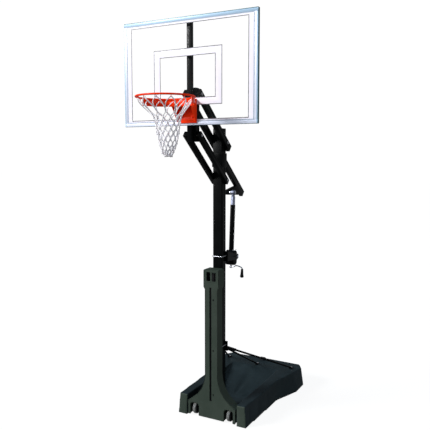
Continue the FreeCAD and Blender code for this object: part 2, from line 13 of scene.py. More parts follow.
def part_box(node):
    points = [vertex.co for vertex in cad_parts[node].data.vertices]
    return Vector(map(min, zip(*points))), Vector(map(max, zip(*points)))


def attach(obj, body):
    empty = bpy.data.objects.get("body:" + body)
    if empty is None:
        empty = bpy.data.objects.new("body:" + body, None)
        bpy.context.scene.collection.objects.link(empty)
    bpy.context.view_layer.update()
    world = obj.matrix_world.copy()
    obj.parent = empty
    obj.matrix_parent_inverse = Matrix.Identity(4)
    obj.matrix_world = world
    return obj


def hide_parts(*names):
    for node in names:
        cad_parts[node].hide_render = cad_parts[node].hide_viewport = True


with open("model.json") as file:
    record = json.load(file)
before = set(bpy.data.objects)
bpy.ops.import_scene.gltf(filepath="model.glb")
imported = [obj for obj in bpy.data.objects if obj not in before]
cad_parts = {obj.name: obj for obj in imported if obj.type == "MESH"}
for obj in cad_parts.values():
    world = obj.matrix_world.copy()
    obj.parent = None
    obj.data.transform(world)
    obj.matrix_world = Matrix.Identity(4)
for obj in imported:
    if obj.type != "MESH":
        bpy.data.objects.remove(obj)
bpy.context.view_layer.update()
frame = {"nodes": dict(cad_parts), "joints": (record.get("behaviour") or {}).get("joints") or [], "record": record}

LOG = logging.getLogger("hoop")
Colour = tuple[float, float, float]
Point2 = tuple[float, float]


class Body(Enum):
    """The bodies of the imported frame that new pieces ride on."""

    BASE = "base"
    ACTUATOR = "actuator"
    UPPER_ARMS = "upper_arms"
    LOWER_ARMS = "lower_arms"
    BOARD = "board"
    LIFT_ROD = "lift_rod"
    CRANK = "crank"
    CRANK_GRIP = "crank_grip"
    WHEEL_LEFT = "wheel_left"
    WHEEL_RIGHT = "wheel_right"
    FILLER_CAP = "filler_cap"


# ---------------------------------------------------------------- node graphs


class Value:
    """A socket that carries one number, with the arithmetic of plain numbers."""

    def __init__(self, graph: "Graph", socket: bpy.types.NodeSocket) -> None:
        """Wraps a socket of a graph."""
        self.graph = graph
        self.socket = socket

    def _math(self, operation: str, *others: object, swapped: bool = False) -> "Value":
        """Adds a Math node.

        Args:
            operation: The Math node's operation.
            others: Further operands, numbers or values.
            swapped: True if the first of others comes before this value.

        Returns:
            The node's result.
        """
        terms = [self, *others]
        if swapped:
            terms = [others[0], self]
        node = self.graph.node("ShaderNodeMath", {"operation": operation}, dict(enumerate(terms)))
        return Value(self.graph, node.outputs[0])

    def __add__(self, other: object) -> "Value":
        """Sum."""
        return self._math("ADD", other)

    __radd__ = __add__

    def __mul__(self, other: object) -> "Value":
        """Product."""
        return self._math("MULTIPLY", other)

    __rmul__ = __mul__

    def __sub__(self, other: object) -> "Value":
        """Difference."""
        return self._math("SUBTRACT", other)

    def __rsub__(self, other: object) -> "Value":
        """Difference from a plain number."""
        return self._math("SUBTRACT", other, swapped=True)

    def __truediv__(self, other: object) -> "Value":
        """Quotient."""
        return self._math("DIVIDE", other)

    def __abs__(self) -> "Value":
        """Absolute value."""
        return self._math("ABSOLUTE")

    def __gt__(self, other: object) -> "Value":
        """One where this is greater, else zero."""
        return self._math("GREATER_THAN", other)

    def __lt__(self, other: object) -> "Value":
        """One where this is smaller, else zero."""
        return self._math("LESS_THAN", other)

    def sine(self) -> "Value":
        """Sine of an angle in radians."""
        return self._math("SINE")

    def top(self, other: object) -> "Value":
        """The larger of two."""
        return self._math("MAXIMUM", other)

    def between(self, low: float, high: float) -> "Value":
        """Rises smoothly from zero at low to one at high."""
        node = self.graph.node(
            "ShaderNodeMapRange",
            {"interpolation_type": "SMOOTHSTEP"},
            {"Value": self, "From Min": low, "From Max": high},
        )
        return Value(self.graph, node.outputs[0])


class Graph:
    """A node tree that is filled by calls."""

    def __init__(self, tree: bpy.types.NodeTree) -> None:
        """Wraps an empty node tree."""
        self.tree = tree

    def node(self, kind: str, settings: dict | None = None, sockets: dict | None = None) -> bpy.types.Node:
        """Adds one node.

        Args:
            kind: The node's type.
            settings: Its properties, and ramp stops under "stops" as (place, colour) pairs.
            sockets: Input name or index to a number, a vector, a Value, a socket or a node.

        Returns:
            The new node.
        """
        made = self.tree.nodes.new(kind)
        for key, value in (settings or {}).items():
            if key == "stops":
                self._stops(made, value)
            else:
                setattr(made, key, value)
        for key, value in (sockets or {}).items():
            self._feed(made.inputs[key], value)
        return made

    def _feed(self, entry: bpy.types.NodeSocket, value: object) -> None:
        """Links a value to an input, or sets the input's own number."""
        if isinstance(value, Value):
            self.tree.links.new(value.socket, entry)
        elif isinstance(value, bpy.types.NodeSocket):
            self.tree.links.new(value, entry)
        elif isinstance(value, bpy.types.Node):
            self.tree.links.new(value.outputs[0], entry)
        else:
            entry.default_value = value

    @staticmethod
    def _stops(node: bpy.types.Node, stops: Sequence[tuple[float, Colour]]) -> None:
        """Sets a colour ramp's stops."""
        ramp = node.color_ramp
        for index, (place, colour) in enumerate(stops):
            if index < 2:
                stop = ramp.elements[index]
                stop.position = place
            else:
                stop = ramp.elements.new(place)
            stop.color = (*colour, 1.0)


class Surface(Graph):
    """The graph of one material."""

    def __init__(self, name: str) -> None:
        """Starts an empty material."""
        self.material = bpy.data.materials.new(name)
        self.material.use_nodes = True
        super().__init__(self.material.node_tree)
        self.tree.nodes.clear()
        self.coordinates = self.node("ShaderNodeTexCoord").outputs["Object"]

    def axis(self, letter: str) -> Value:
        """One coordinate of the surface point, in metres."""
        split = self.node("ShaderNodeSeparateXYZ", {}, {0: self.coordinates})
        return Value(self, split.outputs[letter])

    def noise(self, scale: float, detail: float = 3.0, stretch: Sequence[float] = (1, 1, 1)) -> Value:
        """Grain from 0 to 1.

        Args:
            scale: Cells per metre.
            detail: Octaves.
            stretch: How much finer the grain is along each axis.

        Returns:
            The noise's value.
        """
        place = self.node("ShaderNodeMapping", {}, {"Vector": self.coordinates, "Scale": tuple(stretch)})
        made = self.node(
            "ShaderNodeTexNoise", {}, {"Vector": place, "Scale": scale, "Detail": detail, "Roughness": 0.55}
        )
        return Value(self, made.outputs["Fac"])

    def attribute(self, name: str) -> Value:
        """A number stored on the mesh."""
        made = self.node("ShaderNodeAttribute", {"attribute_name": name})
        return Value(self, made.outputs["Fac"])

    def blend(self, factor: object, low: Colour, high: Colour) -> bpy.types.NodeSocket:
        """A colour between two colours."""
        made = self.node("ShaderNodeMix", {"data_type": "RGBA"}, {0: factor, 6: (*low, 1), 7: (*high, 1)})
        return made.outputs[2]

    def mixed(self, factor: object, low: object, high: Colour) -> bpy.types.NodeSocket:
        """A colour between a graph's colour and a fixed one."""
        made = self.node("ShaderNodeMix", {"data_type": "RGBA"}, {0: factor, 6: low, 7: (*high, 1)})
        return made.outputs[2]

    def relief(self, height: Value, depth: float) -> bpy.types.NodeSocket:
        """A bumped normal.

        Args:
            height: The relief, from 0 to 1.
            depth: How deep a height of 1 is, in metres.

        Returns:
            The Bump node's normal.
        """
        made = self.node("ShaderNodeBump", {}, {"Strength": 1.0, "Distance": depth, "Height": height})
        return made.outputs[0]

    def principled(self, **sockets: object) -> bpy.types.Material:
        """Ends the graph in a Principled shader with these inputs, underscores standing for spaces."""
        inputs = {key.replace("_", " "): value for key, value in sockets.items()}
        shader = self.node("ShaderNodeBsdfPrincipled", {}, inputs)
        self.node("ShaderNodeOutputMaterial", {}, {"Surface": shader})
        return self.material


class Growth(Graph):
    """A Geometry Nodes tree with named inputs."""

    def __init__(self, name: str, inputs: dict[str, object]) -> None:
        """Starts a tree with a geometry, the given inputs and a material.

        Args:
            name: The tree's name.
            inputs: Input name to its default.
        """
        super().__init__(bpy.data.node_groups.new(name, "GeometryNodeTree"))
        face = self.tree.interface
        face.new_socket("Geometry", in_out="INPUT", socket_type="NodeSocketGeometry")
        face.new_socket("Geometry", in_out="OUTPUT", socket_type="NodeSocketGeometry")
        for label, default in inputs.items():
            kind = "NodeSocket" + SOCKET_KIND[type(default)]
            face.new_socket(label, in_out="INPUT", socket_type=kind).default_value = default
        face.new_socket("Material", in_out="INPUT", socket_type="NodeSocketMaterial")
        self.entry = self.node("NodeGroupInput")

    def given(self, label: str) -> bpy.types.NodeSocket:
        """The tree's own input of that name."""
        return self.entry.outputs[label]

    def number(self, label: str) -> Value:
        """The tree's own numeric input of that name."""
        return Value(self, self.given(label))

    def height(self) -> Value:
        """The height of each point."""
        place = self.node("GeometryNodeInputPosition")
        return Value(self, self.node("ShaderNodeSeparateXYZ", {}, {0: place}).outputs["Z"])

    def marked(self, geometry: object, name: str, value: object) -> bpy.types.Node:
        """The geometry with a named number stored at each point."""
        return self.node("GeometryNodeStoreNamedAttribute", {"data_type": "FLOAT", "domain": "POINT"},
                         {"Geometry": geometry, "Name": name, "Value": value})

    def vector(self, operation: str, first: object, second: object) -> bpy.types.Node:
        """One step of vector maths."""
        other = "Scale" if operation == "SCALE" else 1
        return self.node("ShaderNodeVectorMath", {"operation": operation}, {0: first, other: second})

    def join(self, *parts: bpy.types.Node) -> bpy.types.Node:
        """All the parts as one geometry."""
        made = self.node("GeometryNodeJoinGeometry")
        for part in parts:
            self.tree.links.new(part.outputs[0], made.inputs[0])
        return made

    def circle_of(self, part: object) -> bpy.types.Node:
        """Instances of a part round the centre, "Count" of them, half a step round from +X.

        Args:
            part: The part, drawn about the Z axis.

        Returns:
            The instances' node.
        """
        spots = self.node("GeometryNodePoints", {},
                          {"Count": self.given("Count"), "Position": self.given("Centre")})
        index = Value(self, self.node("GeometryNodeInputIndex").outputs[0])
        angle = (index + 0.5) * (2 * math.pi) / self.number("Count")
        turn = self.node("ShaderNodeCombineXYZ", {}, {"Z": angle})
        return self.node("GeometryNodeInstanceOnPoints", {},
                         {"Points": spots, "Instance": part, "Rotation": turn})

    def close(self, geometry: object) -> None:
        """Realizes the instances, sets the material and ends the tree."""
        real = self.node("GeometryNodeRealizeInstances", {}, {"Geometry": geometry})
        dressed = self.node(
            "GeometryNodeSetMaterial", {}, {"Geometry": real, "Material": self.given("Material")}
        )
        self.node("NodeGroupOutput", {}, {"Geometry": dressed})

    def grow(self, seed: bpy.types.Object, name: str, values: dict[str, object]) -> bpy.types.Object:
        """Runs the tree on an object and keeps the result as a plain mesh.

        Args:
            seed: The object that the tree starts from; it is removed.
            name: The result's name.
            values: Input name to value.

        Returns:
            A mesh object at the origin.
        """
        modifier = seed.modifiers.new("growth", "NODES")
        modifier.node_group = self.tree
        for item in self.tree.interface.items_tree:
            if item.item_type == "SOCKET" and item.in_out == "INPUT" and item.name in values:
                value = values[item.name]
                modifier[item.identifier] = tuple(value) if isinstance(value, Vector) else value
        mesh = evaluated_mesh(seed)
        seed.modifiers.remove(modifier)
        bpy.data.objects.remove(seed)
        return placed(name, mesh)


# ---------------------------------------------------------------- mesh helpers


def evaluated_mesh(obj: bpy.types.Object) -> bpy.types.Mesh:
    """The object's mesh with its modifiers applied."""
    bpy.context.view_layer.update()
    graph = bpy.context.evaluated_depsgraph_get()
    return bpy.data.meshes.new_from_object(obj.evaluated_get(graph), depsgraph=graph)


def from_bmesh(name: str, work: bmesh.types.BMesh, smooth: bool = True) -> bpy.types.Object:
    """Turns a bmesh into an object, with its normals outward.

    Args:
        name: The object's name.
        work: The bmesh; it is freed.
        smooth: True for smooth shading.

    Returns:
        The new object.
    """
    bmesh.ops.remove_doubles(work, verts=work.verts, dist=1e-6)
    bmesh.ops.recalc_face_normals(work, faces=work.faces)
    mesh = bpy.data.meshes.new(name)
    work.to_mesh(mesh)
    work.free()
    mesh.polygons.foreach_set("use_smooth", [smooth] * len(mesh.polygons))
    return placed(name, mesh)


def rounded(corners: Sequence[tuple[float, float, float]], steps: int = 6) -> list[Point2]:
    """A closed outline whose corners are arcs.

    Args:
        corners: (x, z, radius) of each corner.
        steps: Points on each arc, less one.

    Returns:
        The outline's points.
    """
    points: list[Point2] = []
    count = len(corners)
    for index, (x, z, radius) in enumerate(corners):
        here = Vector((x, z))
        before = Vector(corners[index - 1][:2]) - here
        after = Vector(corners[(index + 1) % count][:2]) - here
        half_angle = before.angle(after) / 2
        reach = min(radius / math.tan(half_angle), before.length * 0.49, after.length * 0.49)
        start = here + before.normalized() * reach
        end = here + after.normalized() * reach
        for step in range(steps + 1):
            t = step / steps
            point = start.lerp(here, t).lerp(here.lerp(end, t), t)
            points.append((point.x, point.y))
    return points


def placed(name: str, data: bpy.types.ID) -> bpy.types.Object:
    """Links any data to the scene as an object at the origin."""
    holder = bpy.data.objects.new(name, data)
    bpy.context.scene.collection.objects.link(holder)
    return holder


def consumed(holder: bpy.types.Object) -> bpy.types.Mesh:
    """The object's mesh with its modifiers applied, with the object removed."""
    mesh = evaluated_mesh(holder)
    bpy.data.objects.remove(holder)
    return mesh


def baked_curve(curve: bpy.types.Curve) -> bpy.types.Mesh:
    """The mesh that a curve gives."""
    return consumed(placed(curve.name, curve))


def flat_curve(name: str, rings: Sequence[Sequence[Point2]]) -> bpy.types.Curve:
    """A filled flat curve: the first ring is its outline and the others are holes."""
    curve = bpy.data.curves.new(name, "CURVE")
    curve.dimensions = "2D"
    curve.fill_mode = "BOTH"
    for ring in rings:
        spline = curve.splines.new("POLY")
        spline.points.add(len(ring) - 1)
        for point, (x, z) in zip(spline.points, ring):
            point.co = (x, z, 0, 1)
        spline.use_cyclic_u = True
    return curve


def smooth_curve(name: str, points: Sequence[Vector], steps: int) -> bpy.types.Curve:
    """An open smooth curve that starts and ends at its first and last point."""
    curve = bpy.data.curves.new(name, "CURVE")
    curve.dimensions = "3D"
    curve.resolution_u = steps
    spline = curve.splines.new("NURBS")
    spline.points.add(len(points) - 1)
    for point, place in zip(spline.points, points):
        point.co = (*place, 1)
    spline.order_u = 3
    spline.use_endpoint_u = True
    return curve


def slab(name: str, outline: Sequence[Point2], holes: Iterable[Sequence[Point2]], front: float,
         thickness: float, edge: float) -> bpy.types.Object:
    """A flat plate in the XZ plane with rounded edges and holes.

    Args:
        name: The object's name.
        outline: Its outline as (x, z).
        holes: Outlines of its holes.
        front: Y of its front face.
        thickness: Its thickness along +Y.
        edge: The radius of its rounded edges.

    Returns:
        The plate as a mesh object.
    """
    curve = flat_curve(name, [outline, *holes])
    curve.extrude = thickness / 2 - edge
    curve.bevel_depth = edge
    curve.bevel_resolution = 3
    curve.offset = -edge
    mesh = baked_curve(curve)
    mesh.transform(Matrix(((1, 0, 0, 0), (0, 0, -1, front + thickness / 2), (0, 1, 0, 0), (0, 0, 0, 1))))
    work = bmesh.new()
    work.from_mesh(mesh)
    return crease(from_bmesh(name, work))


def rectangle(x0: float, x1: float, z0: float, z1: float) -> list[Point2]:
    """The four corners of a rectangle."""
    return [(x0, z0), (x1, z0), (x1, z1), (x0, z1)]


def crease(obj: bpy.types.Object, degrees: float = 35.0) -> bpy.types.Object:
    """Smooth shading that stays sharp across edges steeper than the given angle."""
    mesh = obj.data
    mesh.polygons.foreach_set("use_smooth", [True] * len(mesh.polygons))
    mesh.set_sharp_from_angle(angle=math.radians(degrees))
    return obj


def bridge(work: bmesh.types.BMesh, lower: Sequence[bmesh.types.BMVert],
           upper: Sequence[bmesh.types.BMVert]) -> None:
    """Joins two rings of corners by a band of faces."""
    for k, corner in enumerate(lower):
        n = (k + 1) % len(lower)
        work.faces.new((corner, lower[n], upper[n], upper[k]))


def mirrored(points: Sequence[tuple[float, ...]]) -> list[tuple[float, ...]]:
    """The points followed by their mirror images, so that an outline closes."""
    return [*points, *((-first, *others) for first, *others in reversed(points))]


def turned(name: str, centre: Vector, axis: Vector, profile: Sequence[Point2], sides: int = 48,
           flute: Callable[[float, float], float] | None = None) -> bpy.types.Object:
    """A turned piece, optionally fluted.

    Args:
        name: The object's name.
        centre: The point that the profile's offsets start from.
        axis: The axis of turning.
        profile: (offset along the axis, radius) from one end to the other.
        sides: Segments round the axis.
        flute: Factor on the radius by (angle, offset).

    Returns:
        The piece, closed at both ends.
    """
    work = bmesh.new()
    turn = axis.to_track_quat("Z", "Y").to_matrix()
    rings = []
    for along, radius in profile:
        ring = []
        for side in range(sides):
            angle = 2 * math.pi * side / sides
            reach = radius * (flute(angle, along) if flute else 1.0)
            local = Vector((reach * math.cos(angle), reach * math.sin(angle), along))
            ring.append(work.verts.new(centre + turn @ local))
        rings.append(ring)
    for lower, upper in zip(rings, rings[1:]):
        bridge(work, lower, upper)
    work.faces.new(rings[0])
    work.faces.new(rings[-1])
    return crease(from_bmesh(name, work))


def hollow_turned(name: str, centre: Vector, axis: Vector, section: Sequence[Point2],
                  sides: int = 64) -> bpy.types.Object:
    """A ring turned from a closed section of (offset, radius) points."""
    work = bmesh.new()
    turn = axis.to_track_quat("Z", "Y").to_matrix()
    rings = []
    for side in range(sides):
        angle = 2 * math.pi * side / sides
        out = Vector((math.cos(angle), math.sin(angle), 0))
        rings.append([work.verts.new(centre + turn @ (out * r + Vector((0, 0, z)))) for z, r in section])
    for side, ring in enumerate(rings):
        bridge(work, ring, rings[(side + 1) % sides])
    return crease(from_bmesh(name, work))


def joined(name: str, parts: Sequence[bpy.types.Object]) -> bpy.types.Object:
    """Joins mesh objects into one new object, keeping their materials' order of slot 0."""
    work = bmesh.new()
    for part in parts:
        work.from_mesh(part.data)
    mesh = bpy.data.meshes.new(name)
    work.to_mesh(mesh)
    work.free()
    for part in parts:
        bpy.data.objects.remove(part)
    return crease(placed(name, mesh))


def swept(name: str, points: Sequence[Vector], radius: float, sides: int = 3) -> bpy.types.Object:
    """A round bar along a smooth curve through points.

    Args:
        name: The object's name.
        points: The curve's control points.
        radius: The bar's radius.
        sides: Bevel resolution.

    Returns:
        The bar as a mesh object.
    """
    curve = smooth_curve(name, points, 10)
    curve.bevel_depth = radius
    curve.bevel_resolution = sides
    curve.use_fill_caps = True
    mesh = baked_curve(curve)
    work = bmesh.new()
    work.from_mesh(mesh)
    return crease(from_bmesh(name, work))


def merged_copy(node: str, flat: float = 0.5) -> bmesh.types.BMesh:
    """A copy of a CAD node's mesh with its vertices joined and its flat faces whole.

    Args:
        node: The CAD node.
        flat: Faces within this angle in degrees count as one.

    Returns:
        The copy as a bmesh.
    """
    work = bmesh.new()
    work.from_mesh(frame["nodes"][node].data)
    bmesh.ops.remove_doubles(work, verts=work.verts, dist=2e-6)
    bmesh.ops.dissolve_limit(work, angle_limit=math.radians(flat), verts=work.verts, edges=work.edges)
    return work


def eased(node: str, radius: float, segments: int = 2, name: str | None = None) -> bpy.types.Object:
    """A copy of a CAD node whose sharp edges are eased.

    Args:
        node: The CAD node to copy.
        radius: The eased edge's width, in metres.
        segments: Faces across an eased edge.
        name: The new piece's name.

    Returns:
        The copy.
    """
    mesh = bpy.data.meshes.new(node)
    work = merged_copy(node)
    work.to_mesh(mesh)
    work.free()
    holder = placed(node + "_work", mesh)
    bevel = holder.modifiers.new("ease", "BEVEL")
    bevel.width = radius
    bevel.segments = segments
    bevel.limit_method = "ANGLE"
    bevel.angle_limit = math.radians(40)
    result = evaluated_mesh(holder)
    bpy.data.objects.remove(holder)
    return crease(placed(name or node + "_eased", result), 50)


# ---------------------------------------------------------------- finishes


@dataclass(frozen=True)
class Finish:
    """A finish; its material is made once and shared."""

    name: str

    def material(self) -> bpy.types.Material:
        """The finish's material."""
        found = bpy.data.materials.get(self.name)
        return found if found else self.make(Surface(self.name))

    def make(self, surface: Surface) -> bpy.types.Material:
        """Fills the surface; each kind of finish has its own."""
        raise NotImplementedError


@dataclass(frozen=True)
class PowderCoat(Finish):
    """Baked powder coat: orange-peel relief, slight mottling and a soft sheen."""

    colour: Colour
    worn: Colour
    roughness: float = 0.42
    coat: float = 0.0
    sheen: float = 0.06

    def make(self, surface: Surface) -> bpy.types.Material:
        """Fills the surface."""
        mottle = surface.noise(9, 4)
        scuff = surface.noise(38, 6, (1, 1, 0.25)).between(0.62, 0.80)
        peel = surface.noise(650, 2)
        return surface.principled(
            Base_Color=surface.blend(mottle.between(0.35, 0.75) * 0.35 + scuff * 0.4, self.colour, self.worn),
            Roughness=mottle * 0.12 + scuff * 0.15 + (self.roughness - 0.06),
            Normal=surface.relief(peel, 0.00005),
            Coat_Weight=self.coat,
            Coat_Roughness=0.12,
            Specular_IOR_Level=self.sheen,
        )


@dataclass(frozen=True)
class Moulded(Finish):
    """Rotationally moulded plastic: fine pebbled grain, faint cloudiness and rubbed highlights."""

    colour: Colour
    cloud: Colour
    grain: float = 0.0006
    roughness: float = 0.55

    def make(self, surface: Surface) -> bpy.types.Material:
        """Fills the surface."""
        cloud = surface.noise(5, 5)
        grain = surface.noise(260, 3)
        dust = surface.noise(24, 5).between(0.55, 0.85)
        return surface.principled(
            Base_Color=surface.blend(cloud.between(0.3, 0.8) * 0.7 + dust * 0.3, self.colour, self.cloud),
            Roughness=cloud * 0.15 + grain * 0.1 + (self.roughness - 0.12),
            Normal=surface.relief(grain, self.grain),
            Specular_IOR_Level=0.10,
        )


@dataclass(frozen=True)
class BrushedMetal(Finish):
    """Bare or plated metal with fine lines along one axis."""

    colour: Colour
    shade: Colour
    stretch: tuple[float, float, float] = (1, 1, 0.04)
    roughness: float = 0.3
    metal: float = 1.0

    def make(self, surface: Surface) -> bpy.types.Material:
        """Fills the surface."""
        lines = surface.noise(420, 2, self.stretch)
        blot = surface.noise(30, 4)
        return surface.principled(
            Base_Color=surface.blend(blot.between(0.3, 0.8), self.colour, self.shade),
            Metallic=self.metal,
            Roughness=lines * 0.2 + blot * 0.1 + (self.roughness - 0.12),
            Normal=surface.relief(lines, 0.00012),
        )


@dataclass(frozen=True)
class RailCoat(Finish):
    """Pale anodised rail with a painted bluish reflection on its outer strips, and thin dark lines along its top,
    its foot and its ends, those at the foot and the ends being painted shade.
    """

    reach: float
    foot: float
    top: float
    colour: Colour = (0.78, 0.82, 0.95)
    shade: Colour = (0.66, 0.73, 0.89)
    # Painted reflection: the bluish colour of the side rails' outer strips and the top rail's upper band.
    painted_reflection: Colour = (0.44, 0.62, 0.80)
    # Painted shade for the foot and the outer ends, and the colour of the thin line along the top.
    dark_line_and_painted_shade: Colour = (0.055, 0.15, 0.18)

    def make(self, surface: Surface) -> bpy.types.Material:
        """Fills the surface."""
        lines = surface.noise(300, 2, (0.2, 1, 0.2))
        out = abs(surface.axis("X"))
        high = surface.axis("Z")
        plain = surface.blend(lines, self.colour, self.shade)
        # Bluish colour on the side rails' outer 12 mm and the top rail's upper 30 mm: painted reflection.
        with_painted_reflection = surface.mixed((out > self.reach - 0.012).top(high > self.top - 0.030), plain, self.painted_reflection)
        # Dark lines at the foot and the outer ends are painted shade of faces turned from the light; one more runs
        # along the top.
        top_line_and_painted_shade = (out > self.reach - 0.0015).top(high > self.top - 0.0060).top(high < self.foot + 0.0025)
        return surface.principled(
            Base_Color=surface.mixed(top_line_and_painted_shade, with_painted_reflection, self.dark_line_and_painted_shade),
            Metallic=0.1,
            Roughness=lines * 0.15 + 0.32,
            Normal=surface.relief(lines, 0.00008),
            Specular_IOR_Level=0.3,
        )


@dataclass(frozen=True)
class ClearSheet(Finish):
    """Clear acrylic sheet: almost invisible face on, with a faint tint and polish marks."""

    tint: Colour = (0.86, 0.93, 0.96)
    opacity: float = 0.003

    def make(self, surface: Surface) -> bpy.types.Material:
        """Fills the surface."""
        smear = surface.noise(6, 4)
        return surface.principled(
            Base_Color=surface.blend(smear, self.tint, (0.93, 0.97, 0.98)),
            Roughness=smear * 0.06 + 0.02,
            Alpha=smear.between(0.3, 0.8) * 0.004 + self.opacity,
            Specular_IOR_Level=0.25,
        )


@dataclass(frozen=True)
class Ink(Finish):
    """Screen-printed ink on the panel."""

    colour: Colour
    shade: Colour

    def make(self, surface: Surface) -> bpy.types.Material:
        """Fills the surface."""
        weave = surface.noise(900, 1)
        wash = surface.noise(7, 3)
        return surface.principled(
            Base_Color=surface.blend(wash, self.colour, self.shade),
            Roughness=wash * 0.1 + 0.35,
            Normal=surface.relief(weave, 0.00005),
        )


@dataclass(frozen=True)
class TwistedCord(Finish):
    """Braided net cord: strands wind round the cord by its stored length and turn."""

    colour: Colour
    shade: Colour
    pitch: float = 0.011

    def make(self, surface: Surface) -> bpy.types.Material:
        """Fills the surface."""
        turn = surface.attribute("turn") * (2 * math.pi * 3)
        along = surface.attribute("along") * (2 * math.pi / self.pitch)
        strand = (along + turn).sine() * 0.5 + 0.5
        fuzz = surface.noise(1500, 2)
        return surface.principled(
            Base_Color=surface.blend(strand * 0.6 + fuzz * 0.4, self.shade, self.colour),
            Roughness=fuzz * 0.1 + 0.78,
            Normal=surface.relief(strand * 0.7 + fuzz * 0.3, 0.0008),
        )


@dataclass(frozen=True)
class Rubber(Finish):
    """Dull black rubber with a dusty bloom."""

    colour: Colour = (0.012, 0.012, 0.013)
    bloom: Colour = (0.024, 0.024, 0.025)

    def make(self, surface: Surface) -> bpy.types.Material:
        """Fills the surface."""
        dust = surface.noise(45, 6)
        return surface.principled(
            Base_Color=surface.blend(dust.between(0.45, 0.8), self.colour, self.bloom),
            Roughness=dust * 0.2 + 0.62,
            Normal=surface.relief(surface.noise(800, 2), 0.0003),
        )


STEEL_BLACK = PowderCoat("black powder coat", (0.0018, 0.0022, 0.0024), (0.0050, 0.0056, 0.0066), 0.32)
RIM_RED = PowderCoat("orange rim paint", (0.92, 0.036, 0.002), (0.97, 0.060, 0.008), 0.36, 0.05)
# The tank plastic's blue-slate tint is painted sky reflection.
TANK_PLASTIC_PAINTED_SKY = Moulded("tank plastic painted sky", (0.010, 0.017, 0.020), (0.020, 0.031, 0.036), 0.0003, 0.5)
GUARD_PLASTIC = Moulded("guard plastic", (0.029, 0.041, 0.032), (0.042, 0.055, 0.045), 0.0002, 0.55)
HUB_PLASTIC = Moulded("hub plastic", (0.030, 0.031, 0.032), (0.050, 0.051, 0.052), 0.0003, 0.45)
NYLON = Moulded("nylon", (0.62, 0.60, 0.54), (0.72, 0.70, 0.65), 0.0002, 0.4)
GRIP_PLASTIC = Moulded("grip plastic", (0.008, 0.008, 0.009), (0.016, 0.016, 0.018), 0.0002, 0.45)
CAP_PLASTIC = Moulded("cap plastic", (0.010, 0.012, 0.014), (0.018, 0.020, 0.023), 0.0002, 0.45)
ZINC = BrushedMetal("zinc plate", (0.62, 0.63, 0.66), (0.44, 0.46, 0.52), (1, 1, 0.3), 0.32)
STEEL_ROD = BrushedMetal("ground steel rod", (0.24, 0.26, 0.34), (0.15, 0.17, 0.24), (0.2, 0.2, 4), 0.48)
BRONZE = BrushedMetal("machined bronze", (0.55, 0.36, 0.16), (0.42, 0.26, 0.11), (1, 1, 3), 0.3)
SHEET = ClearSheet("clear acrylic")
WHITE_INK = Ink("white band ink", (0.87, 0.84, 0.94), (0.90, 0.87, 0.96))
GREY_INK = Ink("grey outline ink", (0.060, 0.060, 0.075), (0.11, 0.11, 0.13))
BLUE_INK = Ink("pale blue edge ink", (0.30, 0.38, 0.50), (0.38, 0.46, 0.58))
NET_CORD = TwistedCord("net cord", (0.96, 0.95, 0.97), (0.82, 0.80, 0.85))
BLACK_RUBBER = Rubber("black rubber")
# The tread rubber is much lighter than the black sides: painted key light on the tread.
PAINTED_LIT_TREAD = Rubber("tread rubber painted lit", (0.13, 0.135, 0.13), (0.32, 0.33, 0.32))
CHROME = BrushedMetal("bright plate", (0.62, 0.64, 0.70), (0.46, 0.48, 0.55), (1, 1, 0.3), 0.30, 0.7)
SAND = Moulded("dry sand", (0.42, 0.34, 0.22), (0.55, 0.46, 0.32), 0.002, 0.9)


def dress(obj: bpy.types.Object, finish: Finish) -> bpy.types.Object:
    """Gives an object one finish on all its faces."""
    obj.data.materials.clear()
    obj.data.materials.append(finish.material())
    return obj


def two_tone(obj: bpy.types.Object, finish: Finish, other: Finish,
             chosen: Callable[[bpy.types.MeshPolygon], bool]) -> bpy.types.Object:
    """Gives an object one finish, and another to its chosen faces."""
    dress(obj, finish)
    obj.data.materials.append(other.material())
    for face in obj.data.polygons:
        face.material_index = int(chosen(face))
    return obj


def settle(piece: bpy.types.Object, body: Body, finish: Finish | None = None,
           instead_of: Sequence[str] = ()) -> bpy.types.Object:
    """Finishes a piece and hands it to the frame.

    Args:
        piece: The finished piece.
        body: The body that it rides on.
        finish: Its finish, unless it has one already.
        instead_of: CAD nodes that it stands for.

    Returns:
        The piece.
    """
    if finish:
        dress(piece, finish)
    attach(piece, body.value)
    if instead_of:
        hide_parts(*instead_of)
    LOG.info("%s rides on %s", piece.name, body.value)
    return piece


def middle(node: str) -> Vector:
    """The centre of a CAD node's box."""
    low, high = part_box(node)
    return (Vector(low) + Vector(high)) / 2


NODE_BODY = {
    node: Body(body) for body, nodes in frame["record"]["behaviour"]["bodies"].items() for node in nodes
}
SOCKET_KIND = {int: "Int", float: "Float", tuple: "Vector"}
ORIGIN = (0.0, 0.0, 0.0)
X_AXIS, Y_AXIS, Z_AXIS = Vector((1, 0, 0)), Vector((0, 1, 0)), Vector((0, 0, 1))
JOINTS = {joint["name"]: joint for joint in frame["joints"]}


# ---------------------------------------------------------------- sub-assemblies


@dataclass
class SubAssembly:
    """A part of the hoop that is built and dressed as one."""

    def carry(self, finish: Finish, ease: float, *nodes: str) -> None:
        """Stands an eased copy in for each CAD node.

        Args:
            finish: The finish of these nodes.
            ease: The width of their eased edges, in metres.
            nodes: The CAD nodes.
        """
        for node in nodes:
            settle(eased(node, ease), NODE_BODY[node], finish, [node])

    def keep(self, finish: Finish, *nodes: str) -> None:
        """Leaves CAD nodes as they are, in a better finish.

        Args:
            finish: The finish of these nodes.
            nodes: The CAD nodes.
        """
        for node in nodes:
            for entry in frame["nodes"][node].material_slots:
                entry.material = finish.material()
            LOG.info("%s keeps its shape", node)

    def build(self) -> None:
        """Builds the sub-assembly's pieces."""
        raise NotImplementedError


